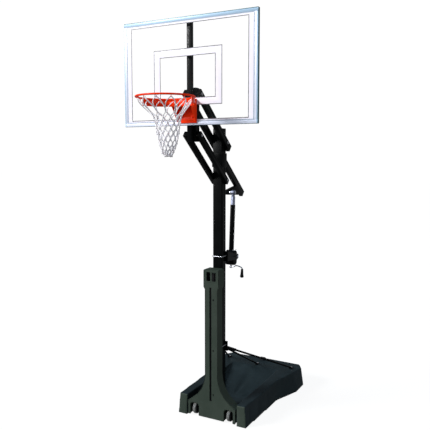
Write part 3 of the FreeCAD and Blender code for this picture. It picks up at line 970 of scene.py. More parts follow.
@dataclass
class Board(SubAssembly):
    """The framed clear panel with its painted bands, its mast and its pivot tube."""

    border_inner_x: float = 0.575
    border_inner_z: tuple[float, float] = (2.882, 3.684)
    square_outer: tuple[float, float, float] = (0.332, 3.004, 3.472)
    square_inner: tuple[float, float, float] = (0.277, 3.057, 3.417)
    line_width: float = 0.0062
    ink: float = 0.0004

    def build(self) -> None:
        """Builds the rails, panel, ink and mast."""
        rail = RailCoat("anodised rail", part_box("frame_rail_right")[1][0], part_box("frame_rail_bottom")[0][2],
                        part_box("frame_rail_top")[1][2])
        self.carry(rail, 0.0025, "frame_rail_top", "frame_rail_bottom", "frame_rail_left", "frame_rail_right")
        self.carry(STEEL_BLACK, 0.002, "board_mast", "pivot_tube", "rim_backing_plate")
        self.carry(ZINC, 0.001, "board_fasteners")
        self.carry(ZINC, 0.0012, "board_pivot_bolts")
        self.keep(SHEET, "clear_panel")
        self.keep(BLACK_RUBBER, "panel_gasket")
        self._paint()

    def _frame(self, name: str, outer: Sequence[Point2], inner: Sequence[Point2], lift: float,
               finish: Finish) -> None:
        """One closed painted band.

        Args:
            name: The band's name.
            outer: Its outer outline.
            inner: Its inner outline.
            lift: How far its face stands before the panel.
            finish: Its ink.
        """
        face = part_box("clear_panel")[0][1]
        band = slab(name, outer, [inner], face - lift, lift, self.ink * 0.1)
        settle(band, Body.BOARD, finish)

    def _paint(self) -> None:
        """The white border, the white square and the grey lines beside them."""
        low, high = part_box("clear_panel")
        edge, ink, line = high[0], self.ink, self.line_width
        z0, z1 = self.border_inner_z
        border = rectangle(-self.border_inner_x, self.border_inner_x, z0, z1)
        self._frame("border_band", rectangle(-edge, edge, low[2], high[2]), border, ink, WHITE_INK)
        lines = self.border_inner_x + line
        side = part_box("frame_rail_right")[0].x
        foot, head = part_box("frame_rail_bottom")[1].z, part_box("frame_rail_top")[0].z
        rim = rectangle(-side, side, foot, head)
        inside = rectangle(-side + line, side - line, foot + line, head - line)
        self._frame("edge_line", rim, inside, ink * 1.5, BLUE_INK)
        around = rectangle(-lines, lines, z0 - line, z1 + line)
        self._frame("border_line", around, border, ink * 1.5, GREY_INK)
        half, bottom, top = self.square_outer
        inner_half, inner_bottom, inner_top = self.square_inner
        outer = rectangle(-half, half, bottom, top)
        inner = rectangle(-inner_half, inner_half, inner_bottom, inner_top)
        self._frame("square_band", outer, inner, ink, WHITE_INK)
        grown = rectangle(-half - line, half + line, bottom - line, top + line)
        shrunk = rectangle(-inner_half + line, inner_half - line, inner_bottom + line, inner_top - line)
        self._frame("square_outer_line", grown, outer, ink, GREY_INK)
        self._frame("square_inner_line", inner, shrunk, ink, GREY_INK)


@dataclass
class Rim(SubAssembly):
    """The ring, its plate, bracket, brace and net hooks."""

    ring_steps: int = 160
    hook_count: int = 12

    def build(self) -> None:
        """Builds the rim."""
        self.carry(RIM_RED, 0.0012, "rim_plate", "rim_bracket")
        self.carry(RIM_RED, 0.001, "ring_brace")
        self.carry(RIM_RED, 0.001, "rim_bolts")
        self._ring()
        self._hooks()

    def _ring(self) -> None:
        """The round rod of the ring."""
        low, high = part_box("ring")
        rod = (high.z - low.z) / 2
        radius = (high.x - low.x) / 2 - rod
        section = [(rod * math.sin(2 * math.pi * i / 20), radius + rod * math.cos(2 * math.pi * i / 20))
                   for i in range(20)]
        ring = hollow_turned("ring_rod", (low + high) / 2, Z_AXIS, section, self.ring_steps)
        settle(ring, Body.BOARD, RIM_RED, ["ring"])

    def _hooks(self) -> None:
        """Open wire hooks under the ring, repeated round it."""
        low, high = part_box("net_hooks")
        centre = (low + high) / 2
        tree = Growth("hook circle", {"Count": 12, "Wire": 0.002, "Centre": ORIGIN})
        wire = tree.node("GeometryNodeCurvePrimitiveCircle", {},
                         {"Resolution": 8, "Radius": tree.given("Wire")})
        bar = tree.node("GeometryNodeCurveToMesh", {},
                        {"Curve": tree.given("Geometry"), "Profile Curve": wire, "Fill Caps": True})
        tree.close(tree.circle_of(bar))
        reach = (high.x - low.x) / 2 - 0.0085
        places = [(-0.004, 0.010), (0.006, 0.009), (0.008, 0.0), (0.005, -0.008), (-0.003, -0.010),
                  (-0.008, -0.006), (-0.009, 0.001)]
        curve = smooth_curve("hook", [Vector((reach + out, 0, up)) for out, up in places], 6)
        seed = placed("hook", curve)
        hooks = tree.grow(seed, "net_hook_ring", {"Count": self.hook_count, "Wire": 0.0022, "Centre": centre,
                                                  "Material": RIM_RED.material()})
        settle(crease(hooks), Body.BOARD, RIM_RED, ["net_hooks"])


@dataclass
class Net(SubAssembly):
    """The knotted cord net: long loops off the hooks, then a tube of diamonds and a scalloped end."""

    cord: float = 0.0041
    knot: float = 0.0074
    rows: tuple[tuple[float, float], ...] = (
        (3.022, 0.2235), (2.990, 0.207), (2.955, 0.176), (2.915, 0.140), (2.872, 0.112), (2.830, 0.101),
        (2.788, 0.095), (2.747, 0.089), (2.706, 0.082), (2.666, 0.073), (2.628, 0.062), (2.594, 0.048),
        (2.566, 0.032),
    )
    lean: tuple[float, float, float] = (0.018, 0.010, 0.0)
    loops: int = 12

    def build(self) -> None:
        """Grows the net from one strand."""
        low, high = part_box("net")
        centre = (low + high) / 2
        tree = self._tree()
        values = {"Count": self.loops, "Cord": self.cord, "Knot": self.knot, "Slack": 0.012, "Fray": 0.013,
                  "Centre": Vector((centre.x, centre.y, 0)), "Top": self.rows[0][0],
                  "Lean": Vector(self.lean), "Material": NET_CORD.material()}
        net = tree.grow(self._strand(), "net_cords", values)
        settle(crease(net, 60), Body.BOARD, NET_CORD, ["net"])

    def _strand(self) -> bpy.types.Object:
        """One cord down from its hook, zigzagging by half a mesh from knot to knot."""
        curve = bpy.data.curves.new("strand", "CURVE")
        curve.dimensions = "3D"
        curve.resolution_u = 3
        spline = curve.splines.new("BEZIER")
        spline.bezier_points.add(len(self.rows) - 1)
        half = math.pi / self.loops
        places = []
        for row, (z, radius) in enumerate(self.rows):
            swing = half * (row % 2) if row else 0.013
            if row in (1, 2):
                swing = half * (0.35 + 0.27 * row)
            places.append(Vector((radius * math.cos(swing), radius * math.sin(swing), z)))
        for point, place in zip(spline.bezier_points, places):
            point.co = place
            point.handle_left_type = point.handle_right_type = "AUTO"
        return placed("strand", curve)

    def _tree(self) -> Growth:
        """The tree that repeats, slackens and thickens the strand, and ties its knots."""
        tree = Growth("net", {"Count": 12, "Cord": 0.003, "Knot": 0.005, "Slack": 0.01, "Fray": 0.004,
                              "Centre": ORIGIN, "Top": 3.0, "Lean": ORIGIN})
        mirrored = tree.node("GeometryNodeTransform", {},
                             {"Geometry": tree.given("Geometry"), "Scale": (1, -1, 1)})
        pair = tree.join(mirrored, tree.marked(tree.given("Geometry"), "own", 1.0))
        strands = tree.node("GeometryNodeRealizeInstances", {}, {"Geometry": tree.circle_of(pair)})
        place = tree.node("GeometryNodeInputPosition").outputs[0]
        depth = (tree.number("Top") - tree.height()).top(0.0)
        broad = self._wander(tree, place, 3.2, tree.number("Slack") * depth.between(0.02, 0.30))
        fine = self._wander(tree, place, 21.0, tree.number("Fray") * depth.between(0.10, 0.42))
        lean = tree.vector("SCALE", tree.given("Lean"), depth.between(0.02, 0.20))
        both = tree.vector("ADD", tree.vector("ADD", broad, fine), lean)
        slack = tree.node("GeometryNodeSetPosition", {}, {"Geometry": strands, "Offset": both})
        dense = tree.node("GeometryNodeResampleCurve", {"mode": "LENGTH"}, {"Curve": slack, "Length": 0.009})
        along = tree.node("GeometryNodeSplineParameter").outputs["Length"]
        marked = tree.marked(dense, "along", along)
        round_cord = tree.node("GeometryNodeCurvePrimitiveCircle", {},
                               {"Resolution": 7, "Radius": tree.given("Cord")})
        factor = tree.node("GeometryNodeSplineParameter").outputs["Factor"]
        profile = tree.marked(round_cord, "turn", factor)
        cords = tree.node("GeometryNodeCurveToMesh", {},
                          {"Curve": marked, "Profile Curve": profile, "Fill Caps": True})
        smooth = tree.node("GeometryNodeSetShadeSmooth", {}, {"Geometry": cords})
        knots = self._knots(tree, slack)
        tree.close(tree.join(knots, smooth))
        return tree

    @staticmethod
    def _wander(tree: Growth, place: bpy.types.NodeSocket, scale: float, amount: Value) -> bpy.types.Node:
        """An offset that changes slowly over space, the same for every cord that meets there.

        Args:
            tree: The tree to add to.
            place: The points' positions.
            scale: Cells per metre.
            amount: The largest offset.

        Returns:
            The offset's node.
        """
        noise = tree.node("ShaderNodeTexNoise", {"noise_dimensions": "3D"},
                          {"Vector": place, "Scale": scale, "Detail": 1.0})
        centred = tree.vector("SUBTRACT", noise.outputs["Color"], (0.5, 0.5, 0.5))
        return tree.vector("SCALE", centred, amount * 2.0)

    @staticmethod
    def _knots(tree: Growth, strands: bpy.types.Node) -> bpy.types.Node:
        """A small bulged knot at each control point below the hooks.

        Args:
            tree: The tree to add to.
            strands: The slackened strands.

        Returns:
            The knots' instances.
        """
        ball = tree.node("GeometryNodeMeshIcoSphere", {}, {"Radius": tree.given("Knot"), "Subdivisions": 2})
        shaped = tree.node("GeometryNodeTransform", {}, {"Geometry": ball, "Scale": (1.0, 1.0, 1.35)})
        smooth = tree.node("GeometryNodeSetShadeSmooth", {}, {"Geometry": shaped})
        own = Value(tree, tree.node("GeometryNodeInputNamedAttribute", {}, {"Name": "own"}).outputs[0])
        chosen = (tree.number("Top") - tree.height() > 0.11) * own
        return tree.node("GeometryNodeInstanceOnPoints", {},
                         {"Points": strands, "Selection": chosen, "Instance": smooth})


@dataclass
class Arms(SubAssembly):
    """The two pairs of parallel box arms with their bushes, bolts and tail."""

    def build(self) -> None:
        """Builds the arms."""
        self.carry(STEEL_BLACK, 0.002, "upper_arm_left", "upper_arm_right")
        self.carry(STEEL_BLACK, 0.002, "lower_arm_left", "lower_arm_right", "tail_lug")
        self.carry(NYLON, 0.0006, "upper_arm_bushes", "lower_arm_bushes")
        self.carry(ZINC, 0.0012, "post_pivot_bolts")


@dataclass
class Post(SubAssembly):
    """The square post with its cap, foot, collar and braces."""

    def build(self) -> None:
        """Builds the post."""
        self.carry(STEEL_BLACK, 0.004, "post", "post_cap")
        self.carry(STEEL_BLACK, 0.002, "post_foot_plate", "post_collar", "brace_clamp")
        self.carry(STEEL_BLACK, 0.001, "brace_left", "brace_centre", "brace_right")
        bolts = two_tone(eased("frame_fasteners", 0.0012), ZINC, STEEL_BLACK,
                         lambda face: face.center.y < -0.150)
        settle(bolts, Body.BASE, None, ["frame_fasteners"])
        self._u_bolts()
        self._brace_sockets()

    def _u_bolts(self) -> None:
        """Two bars bent round the front of the post, with nuts behind the clamp plates."""
        low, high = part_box("u_bolts")
        half = high.x - 0.009
        parts = []
        for level in (low.z + 0.009, high.z - 0.009):
            turns = [(half, high.y - 0.001), (half, 0.0), (half, low.y + 0.018), (half, low.y + 0.0055),
                     (half - 0.014, low.y + 0.0055), (0.0, low.y + 0.0055)]
            path = turns + [(-x, y) for x, y in reversed(turns[:-1])]
            parts.append(swept("bar", [Vector((x, y, level)) for x, y in path], 0.0050, 4))
            for side in (-1, 1):
                foot = Vector((side * half, high.y - 0.013, level))
                parts.append(turned("nut", foot, Y_AXIS, [(0.0, 0.0085), (0.0075, 0.0085)], 6))
        settle(joined("u_bolt_bars", parts), Body.BASE, ZINC, ["u_bolts"])

    def _brace_sockets(self) -> None:
        """Thicker tube ends where the braces leave the clamp."""
        parts = []
        for node in ("brace_left", "brace_centre", "brace_right"):
            low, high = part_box(node)
            side = -1 if node == "brace_left" else 1 if node == "brace_right" else 0
            foot = Vector((side * max(abs(low.x), abs(high.x)) * 0.96, high.y - 0.044, low.z + 0.014))
            start = Vector((side * 0.028, low.y, high.z - 0.010))
            way = (foot - start).normalized()
            profile = [(0.004, 0.0108), (0.006, 0.0135), (0.150, 0.0135), (0.154, 0.0125), (0.156, 0.0108)]
            parts.append(turned("socket", start, way, profile, 28))
        settle(joined("brace_sockets", parts), Body.BASE, STEEL_BLACK)


@dataclass
class ScrewLift(SubAssembly):
    """The crank-driven screw behind the post."""

    studs: int = 6

    def build(self) -> None:
        """Builds the lift."""
        self._housing()
        self.carry(STEEL_BLACK, 0.0012, "lift_outer_tube")
        self.carry(STEEL_ROD, 0.0012, "lift_guide_sleeve")
        self.carry(ZINC, 0.001, "housing_screws")
        self.carry(STEEL_BLACK, 0.002, "lift_bracket")
        self.carry(STEEL_ROD, 0.0015, "lift_rod")
        self.carry(CHROME, 0.001, "lift_eye_bolt")
        self.carry(ZINC, 0.001, "lift_screw")
        self.carry(BRONZE, 0.0008, "lift_nut", "thrust_bearing")
        self._studs()
        self._pivot_nuts()
        self._crank()
        self._grip()

    def _housing(self) -> None:
        """The rounded casing of the bevel gears, tilted with the screw."""
        axis, hub, _ = self._crank_points()
        low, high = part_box("gear_housing")
        outline = rounded([(-0.046, 0.019, 0.040), (0.046, 0.019, 0.040), (0.046, 0.168, 0.044),
                           (-0.046, 0.168, 0.044)], 8)
        case = slab("gear_case", outline, [], low.x, high.x - low.x, 0.010)
        back = axis.cross(X_AXIS)
        case.data.transform(Matrix(((0, 1, 0, 0), (-back.y, 0, axis.y, hub.y), (-back.z, 0, axis.z, hub.z),
                                    (0, 0, 0, 1))))
        settle(case, Body.ACTUATOR, STEEL_BLACK, ["gear_housing"])

    def _studs(self) -> None:
        """A row of pressed studs up the outer tube."""
        axis, hub, _ = self._crank_points()
        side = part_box("lift_outer_tube")[1].x
        foot = Vector((side - 0.0015, hub.y, hub.z)) + axis * 0.270
        tree = Growth("stud row", {"Count": 6, "Foot": ORIGIN, "Step": ORIGIN})
        line = tree.node("GeometryNodeMeshLine", {}, {"Count": tree.given("Count"),
                                                      "Start Location": tree.given("Foot"),
                                                      "Offset": tree.given("Step")})
        tree.close(tree.node("GeometryNodeInstanceOnPoints", {},
                             {"Points": line, "Instance": tree.given("Geometry")}))
        stud = turned("stud", Vector((0, 0, 0)), X_AXIS,
                      [(0.0, 0.0078), (0.003, 0.0078), (0.0050, 0.0066), (0.0062, 0.0040),
                       (0.0066, 0.0010)], 20)
        row = tree.grow(stud, "tube_studs", {"Count": self.studs, "Foot": foot, "Step": axis * 0.062,
                                             "Material": NYLON.material()})
        settle(crease(row), Body.ACTUATOR, NYLON)

    def _pivot_nuts(self) -> None:
        """Nuts on the outer ends of the housing's pins."""
        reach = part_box("lift_bracket")[1].x
        pivot = Vector(JOINTS["actuator_swing"]["pos_m"])
        nuts = []
        for side in (-1, 1):
            face = Vector((side * reach, pivot.y, pivot.z))
            nuts.append(turned("nut", face, Vector((side, 0, 0)), [(-0.001, 0.0125), (0.007, 0.0125)], 6))
            nuts.append(turned("pin", face, Vector((side, 0, 0)), [(0.006, 0.0075), (0.0100, 0.0070),
                                                                  (0.0115, 0.0050)], 24))
        settle(joined("pivot_nuts", nuts), Body.BASE, CHROME)

    def _crank_points(self) -> tuple[Vector, Vector, Vector]:
        """The crank's axis, the hub's centre and the grip's upper end."""
        axis = Vector(JOINTS["crank_turn"]["axis"]).normalized()
        hub = Vector(JOINTS["crank_turn"]["pos_m"]) - axis * 0.110
        top = Vector(JOINTS["grip_spin"]["pos_m"]) - axis * 0.012
        return axis, hub, top

    def _crank(self) -> None:
        """The bent crank rod, its hub and the end of its pin."""
        axis, hub, top = self._crank_points()
        across = X_AXIS
        reach = top.x - hub.x
        points = [hub, hub + across * 0.020, hub + across * 0.034 + axis * 0.002,
                  hub + across * 0.052 + axis * 0.016,
                  hub + across * 0.080 + axis * 0.014, hub + across * (reach - 0.016) + axis * 0.006,
                  hub + across * reach - axis * 0.004, top - axis * 0.010, top - axis * 0.088]
        rod = swept("rod", points, 0.0060, 4)
        boss = turned("boss", hub, axis, [(-0.014, 0.008), (-0.012, 0.0125), (0.008, 0.0150), (0.010, 0.0140),
                                          (0.012, 0.009)], 40)
        stop = turned("stop", top - axis * 0.088, axis, [(-0.0015, 0.006), (-0.001, 0.009), (0.002, 0.009),
                                                        (0.0025, 0.006)], 32)
        settle(joined("crank_rod", [rod, boss, stop]), Body.CRANK, CHROME, ["crank_arm"])

    def _grip(self) -> None:
        """The bell-shaped hand grip."""
        axis, _, top = self._crank_points()
        profile = [(0.0, 0.0056), (0.0, 0.0100), (-0.003, 0.0118), (-0.016, 0.0125), (-0.034, 0.0132),
                   (-0.052, 0.0148), (-0.068, 0.0172), (-0.078, 0.0188), (-0.082, 0.0186), (-0.084, 0.0170),
                   (-0.084, 0.0056)]
        grip = turned("grip_bell", top, axis, profile, 60,
                      lambda angle, along: 1 + (0.018 * math.cos(10 * angle) if -0.07 < along < -0.01 else 0))
        settle(grip, Body.CRANK_GRIP, GRIP_PLASTIC, ["crank_grip"])


@dataclass
class BaseTank(SubAssembly):
    """The moulded ballast tank, its filler neck and its contents."""

    voxel: float = 0.0085
    rounds: int = 7
    deck_z: float = 0.205
    valley_half: float = 0.272
    valley_end: float = 0.880
    slope_start: float = 0.300
    groove_depth: float = 0.010
    oval_depth: float = 0.006
    settling: float = 0.022

    def build(self) -> None:
        """Builds the tank."""
        self._ballast()
        tank = self._hull()
        self._mould(tank)
        # Two tones of one plastic: front-facing faces take the guard's lighter grey-green as painted key light,
        # the rest keep the bluer tank plastic as painted sky reflection.
        two_tone(tank, TANK_PLASTIC_PAINTED_SKY, GUARD_PLASTIC, lambda face: face.normal.y < -0.8 and face.center.y < 0.1)
        settle(tank, Body.BASE, None, ["base_tank"])
        self._neck()

    def _ballast(self) -> None:
        """The sand in the tank, settled a little away from its walls."""
        work = merged_copy("ballast_fill")
        work.normal_update()
        ways = [(vertex, vertex.normal.copy()) for vertex in work.verts]
        for vertex, way in ways:
            vertex.co -= way * self.settling
        fill = from_bmesh("sand_fill", work, False)
        settle(fill, Body.BASE, SAND, ["ballast_fill"])

    def _hull(self) -> bpy.types.Object:
        """The tank's outside as one closed, softly rounded skin."""
        work = bmesh.new()
        low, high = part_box("base_tank")
        floor = [(0.377, low.y), (0.400, 0.560), (0.505, 0.860), (0.505, high.y - 0.090), (0.440, high.y)]
        deck = [(0.360, low.y + 0.006), (0.385, 0.560), (0.450, 0.860), (0.480, high.y - 0.105),
                (0.425, high.y - 0.015)]
        rings = []
        for outline, z in ((floor, 0.0), (deck, high.z)):
            rings.append([work.verts.new((x, y, z)) for x, y in mirrored(outline)])
        self._close(work, rings)
        hull = from_bmesh("tank_skin", work)
        self._cut(hull, [(-0.60, 0.060), (self.slope_start, 0.060), (self.valley_end, high.z + 0.001),
                         (self.valley_end, 0.30), (-0.60, 0.30)])
        self._cut(hull, [(-0.60, -0.05), (-0.058, -0.05), (-0.058, 0.30), (-0.60, 0.30)])
        remesh = hull.modifiers.new("skin", "REMESH")
        remesh.mode = "VOXEL"
        remesh.voxel_size = self.voxel
        smooth = hull.modifiers.new("soften", "SMOOTH")
        smooth.factor = 0.5
        smooth.iterations = self.rounds
        return placed("tank_shell", consumed(hull))

    @staticmethod
    def _close(work: bmesh.types.BMesh, rings: Sequence[Sequence[bmesh.types.BMVert]]) -> None:
        """Joins two rings of corners into a closed block."""
        bridge(work, *rings)
        for ring in rings:
            work.faces.new(ring)

    def _cut(self, hull: bpy.types.Object, outline: Sequence[Point2]) -> None:
        """Cuts a block with the given (y, z) outline out of the middle of the hull."""
        work = bmesh.new()
        half = self.valley_half
        rings = [[work.verts.new((x, y, z)) for y, z in outline] for x in (-half, half)]
        self._close(work, rings)
        tool = from_bmesh("tool", work)
        cut = hull.modifiers.new("cut", "BOOLEAN")
        cut.operation = "DIFFERENCE"
        cut.object = tool
        cut.solver = "EXACT"
        mesh = evaluated_mesh(hull)
        hull.modifiers.remove(cut)
        hull.data = mesh
        bpy.data.objects.remove(tool)

    def _mould(self, tank: bpy.types.Object) -> None:
        """Presses the ovals into the deck, the grooves into the slope and the channels into the walls."""
        mesh = tank.data
        top = max(v.co.z for v in mesh.vertices)
        floor = min(v.co.z for v in mesh.vertices)
        normals = [vertex.normal.copy() for vertex in mesh.vertices]
        for vertex, normal in zip(mesh.vertices, normals):
            x, y, z = vertex.co
            up = max(0.0, normal.z)
            if up > 0.5:
                pressed = self._oval(x, y) * self.oval_depth + self._groove(x, y) * self.groove_depth
                vertex.co.z -= up * pressed
                vertex.co.z += up * self._swell(x, y)
            elif abs(normal.z) < 0.6 and y > -0.1:
                wave = 0.5 - 0.5 * math.cos(2 * math.pi * y / 0.21)
                band = smooth_step(0.02, 0.05, z) * (1 - smooth_step(0.15, 0.18, z))
                inward = Vector((normal.x, normal.y, 0))
                vertex.co -= inward * (0.0035 * wave ** 3 * band)
        for vertex in mesh.vertices:
            vertex.co.z = min(max((vertex.co.z - floor) * self.deck_z / (top - floor), 0.0), self.deck_z)
        crease(tank, 60)

    def _oval(self, x: float, y: float) -> float:
        """One inside the oval recesses beside the filler, falling to zero round them."""
        far = min(math.hypot((x - s * 0.125) / 0.070, (y - 1.000) / 0.058) for s in (-1, 1))
        return 1 - smooth_step(0.82, 1.08, far)

    def _groove(self, x: float, y: float) -> float:
        """Deep along lines that fan out over the slope from the post's foot."""
        dx, dy = x, y - 0.16
        reach = math.hypot(dx, dy)
        angle = math.atan2(dx, dy)
        fan = max(0.0, math.cos(angle * 11)) ** 2
        inside = smooth_step(0.16, 0.26, reach) * (1 - smooth_step(0.54, 0.66, reach))
        return fan * inside * (1 - smooth_step(0.215, 0.245, abs(x)))

    def _swell(self, x: float, y: float) -> float:
        """Slight sag and swell of a large moulded face."""
        return 0.0016 * (math.sin(9 * x + 1.0) * math.sin(7 * y) - 0.6)

    def _neck(self) -> None:
        """The raised neck round the filler opening."""
        centre = middle("filler_cap")
        base = Vector((centre.x, centre.y, self.deck_z - 0.006))
        section = [(0.0, 0.0480), (0.0045, 0.0470), (0.0065, 0.0440), (0.0070, 0.0380), (0.0070, 0.0295),
                   (0.0, 0.0290)]
        neck = hollow_turned("filler_neck", base, Z_AXIS, section, 56)
        settle(neck, Body.BASE, TANK_PLASTIC_PAINTED_SKY)


def smooth_step(low: float, high: float, value: float) -> float:
    """Rises smoothly from zero at low to one at high."""
    t = min(max((value - low) / (high - low), 0.0), 1.0)
    return t * t * (3 - 2 * t)


@dataclass
class FillerCap(SubAssembly):
    """The screw cap of the tank with its ribbed edge and grip bar."""

    ribs: int = 24

    def build(self) -> None:
        """Builds the cap."""
        low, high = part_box("filler_cap")
        centre = Vector(((low.x + high.x) / 2, (low.y + high.y) / 2, 0))
        radius = (high.x - low.x) / 2
        top = high.z
        edge = top - 0.012
        profile = [(edge - 0.030, 0.0270), (edge - 0.018, 0.0270), (edge - 0.018, radius * 0.985),
                   (edge - 0.004, radius * 0.985), (edge - 0.0008, radius * 0.93), (edge, radius * 0.86),
                   (edge - 0.0015, radius * 0.60), (edge - 0.0015, radius * 0.30)]
        ribs = self.ribs
        lid = turned("lid", centre, Z_AXIS, profile, 120,
                     lambda angle, along: 1 - (0.022 * max(0.0, math.cos(ribs * angle)) ** 2
                                               if along > edge - 0.019 else 0))
        ridge = rounded([(-0.031, edge - 0.004, 0.001), (0.031, edge - 0.004, 0.001),
                         (0.026, top, 0.004), (-0.026, top, 0.004)], 5)
        bar = slab("bar", ridge, [], centre.y - 0.0065, 0.013, 0.0022)
        settle(joined("screw_cap", [lid, bar]), Body.FILLER_CAP, CAP_PLASTIC, ["filler_cap"])


@dataclass
class Wheels(SubAssembly):
    """The two transport wheels with their forks and axles."""

    lugs: int = 30

    def build(self) -> None:
        """Builds the wheels."""
        self.carry(ZINC, 0.001, "wheel_axles")
        self.carry(STEEL_BLACK, 0.0015, "wheel_forks")
        for name, body in (("left", Body.WHEEL_LEFT), ("right", Body.WHEEL_RIGHT)):
            self._tyre(name, body)
            self._hub(name, body)

    def _tyre(self, name: str, body: Body) -> None:
        """A tyre with two round grooves and cross lugs between them."""
        low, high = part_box("tyre_" + name)
        centre = (low + high) / 2
        radius, half = (high.z - low.z) / 2, (high.x - low.x) / 2
        section = [(-half, 0.0425), (-half, radius - 0.010), (-half + 0.0025, radius - 0.0045),
                   (-half + 0.007, radius - 0.0008), (-0.0075, radius - 0.0002), (-0.0068, radius - 0.0030),
                   (-0.0042, radius - 0.0030), (-0.0035, radius)]
        tyre = hollow_turned("tyre_body", centre, X_AXIS, mirrored(section), 72)
        tree = Growth("tread", {"Count": 30, "Centre": ORIGIN})
        tree.close(tree.circle_of(tree.given("Geometry")))
        work = bmesh.new()
        for side in (-1, 1):
            place = Matrix.Translation((radius - 0.0025, 0, side * 0.0055))
            bmesh.ops.create_cube(work, size=1.0, matrix=place @ Matrix.Diagonal((0.0042, 0.0040, 0.0040, 1)))
        lugs = tree.grow(from_bmesh("lug", work, False), "lugs",
                         {"Count": self.lugs, "Centre": ORIGIN, "Material": PAINTED_LIT_TREAD.material()})
        turn = X_AXIS.to_track_quat("Z", "Y").to_matrix().to_4x4()
        lugs.data.transform(Matrix.Translation(centre) @ turn)
        # The tread faces take the lighter rubber as painted key light; the side faces take black rubber.
        both = two_tone(joined("tyre_ring_" + name, [tyre, lugs]), PAINTED_LIT_TREAD, BLACK_RUBBER,
                        lambda face: abs(face.center.x - centre.x) > half - 0.006)
        settle(both, body, None, ["tyre_" + name])

    def _hub(self, name: str, body: Body) -> None:
        """A dished plastic hub with a ribbed web."""
        low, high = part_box("wheel_" + name)
        centre = (low + high) / 2
        half = (high.x - low.x) / 2
        section = [(-half, 0.0062), (-half, 0.0130), (-half + 0.001, 0.0142), (-half + 0.009, 0.0150),
                   (-half + 0.010, 0.0300), (-half + 0.001, 0.0345), (-half, 0.0360), (-half, 0.0415)]
        hub = hollow_turned("hub_" + name, centre, X_AXIS, mirrored(section), 56)
        settle(hub, body, HUB_PLASTIC, ["wheel_" + name])


@dataclass
class Guard(SubAssembly):
    """The moulded guard before the post: head with two windows, slotted neck and flared skirt."""

    wall: float = 0.005
    edge: float = 0.010

    def build(self) -> None:
        """Builds the guard and what holds it off the post."""
        self.carry(STEEL_BLACK, 0.001, "guard_stand_offs")
        tray = self._tray()
        settle(tray, Body.BASE, GUARD_PLASTIC, ["post_guard"])
        self._frames()

    def _outline(self) -> list[Point2]:
        """The guard's outline seen from the court, with the wheel arches as notches."""
        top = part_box("post_guard")[1][2]
        right = [(0.015, 0.020, 0.004), (0.141, 0.020, 0.006), (0.141, 0.146, 0.036), (0.233, 0.146, 0.036),
                 (0.233, 0.020, 0.004), (0.262, 0.020, 0.006), (0.262, 0.152, 0.016), (0.208, 0.190, 0.05),
                 (0.150, 0.240, 0.10), (0.104, 0.305, 0.12), (0.079, 0.370, 0.12), (0.067, 0.450, 0.12),
                 (0.066, 1.296, 0.012), (0.081, 1.324, 0.012), (0.081, top - 0.006, 0.012),
                 (0.072, top, 0.008)]
        return rounded(mirrored(right), 5)

    @staticmethod
    def _pane(x0: float, x1: float, z0: float, z1: float, corner: float) -> list[Point2]:
        """The outline of a rectangle with rounded corners."""
        return rounded([(x0, z0, corner), (x1, z0, corner), (x1, z1, corner), (x0, z1, corner)], 4)

    def _windows(self) -> list[list[Point2]]:
        """The outlines of the two windows in the head."""
        return [self._pane(x0, x1, 1.378, 1.466, 0.006) for x0, x1 in ((-0.050, -0.008), (0.008, 0.050))]

    def _tray(self) -> bpy.types.Object:
        """The guard's skin, folded back all round its edge and given its wall."""
        low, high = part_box("post_guard")
        outline = self._outline()
        holes = self._windows()
        holes.append(rounded([(-0.018, 0.190, 0.003), (0.006, 0.190, 0.003), (0.006, 0.206, 0.003),
                              (0.003, 0.210, 0.002), (0.003, 1.318, 0.004), (-0.018, 1.318, 0.004)], 3))
        mesh = baked_curve(flat_curve("face", [outline, *holes]))
        mesh.transform(Matrix(((1, 0, 0, 0), (0, 0, -1, low.y), (0, 1, 0, 0), (0, 0, 0, 1))))
        work = bmesh.new()
        work.from_mesh(mesh)
        bmesh.ops.remove_doubles(work, verts=work.verts, dist=1e-5)
        spots = {(round(x, 4), round(z, 4)) for x, z in outline}
        rim = [e for e in work.edges if e.is_boundary
               and all((round(v.co.x, 4), round(v.co.z, 4)) in spots for v in e.verts)]
        folded = bmesh.ops.extrude_edge_only(work, edges=rim)
        back = [g for g in folded["geom"] if isinstance(g, bmesh.types.BMVert)]
        bmesh.ops.translate(work, verts=back, vec=(0, high.y - low.y, 0))
        bmesh.ops.recalc_face_normals(work, faces=work.faces)
        front = [f for f in work.faces if abs(f.normal.y) > 0.9]
        if front[0].normal.y > 0:
            bmesh.ops.reverse_faces(work, faces=work.faces)
        tray = bpy.data.meshes.new("tray")
        work.to_mesh(tray)
        work.free()
        holder = placed("tray", tray)
        bevel = holder.modifiers.new("edge", "BEVEL")
        bevel.width = self.edge
        bevel.segments = 4
        bevel.limit_method = "ANGLE"
        bevel.angle_limit = math.radians(60)
        wall = holder.modifiers.new("wall", "SOLIDIFY")
        wall.thickness = self.wall
        wall.offset = -1
        return crease(placed("guard_shell", consumed(holder)), 40)

    def _frames(self) -> None:
        """A raised frame round the windows and a near-black sheet behind them, painted shade that darkens the
        windows.
        """
        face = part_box("post_guard")[0][1]
        outer = self._pane(-0.062, 0.062, 1.366, 1.478, 0.008)
        border = slab("window_frame", outer, self._windows(), face - 0.0008, 0.004, 0.0008)
        settle(border, Body.BASE, GUARD_PLASTIC)
        # A near-black sheet set back behind the windows: painted shade inside the head.
        inside = self._pane(-0.060, 0.060, 1.366, 1.478, 0.006)
        web = slab("window_shade_sheet", inside, [], face + 0.030, 0.004, 0.0008)
        settle(web, Body.BASE, GRIP_PLASTIC)


# ---------------------------------------------------------------- studio


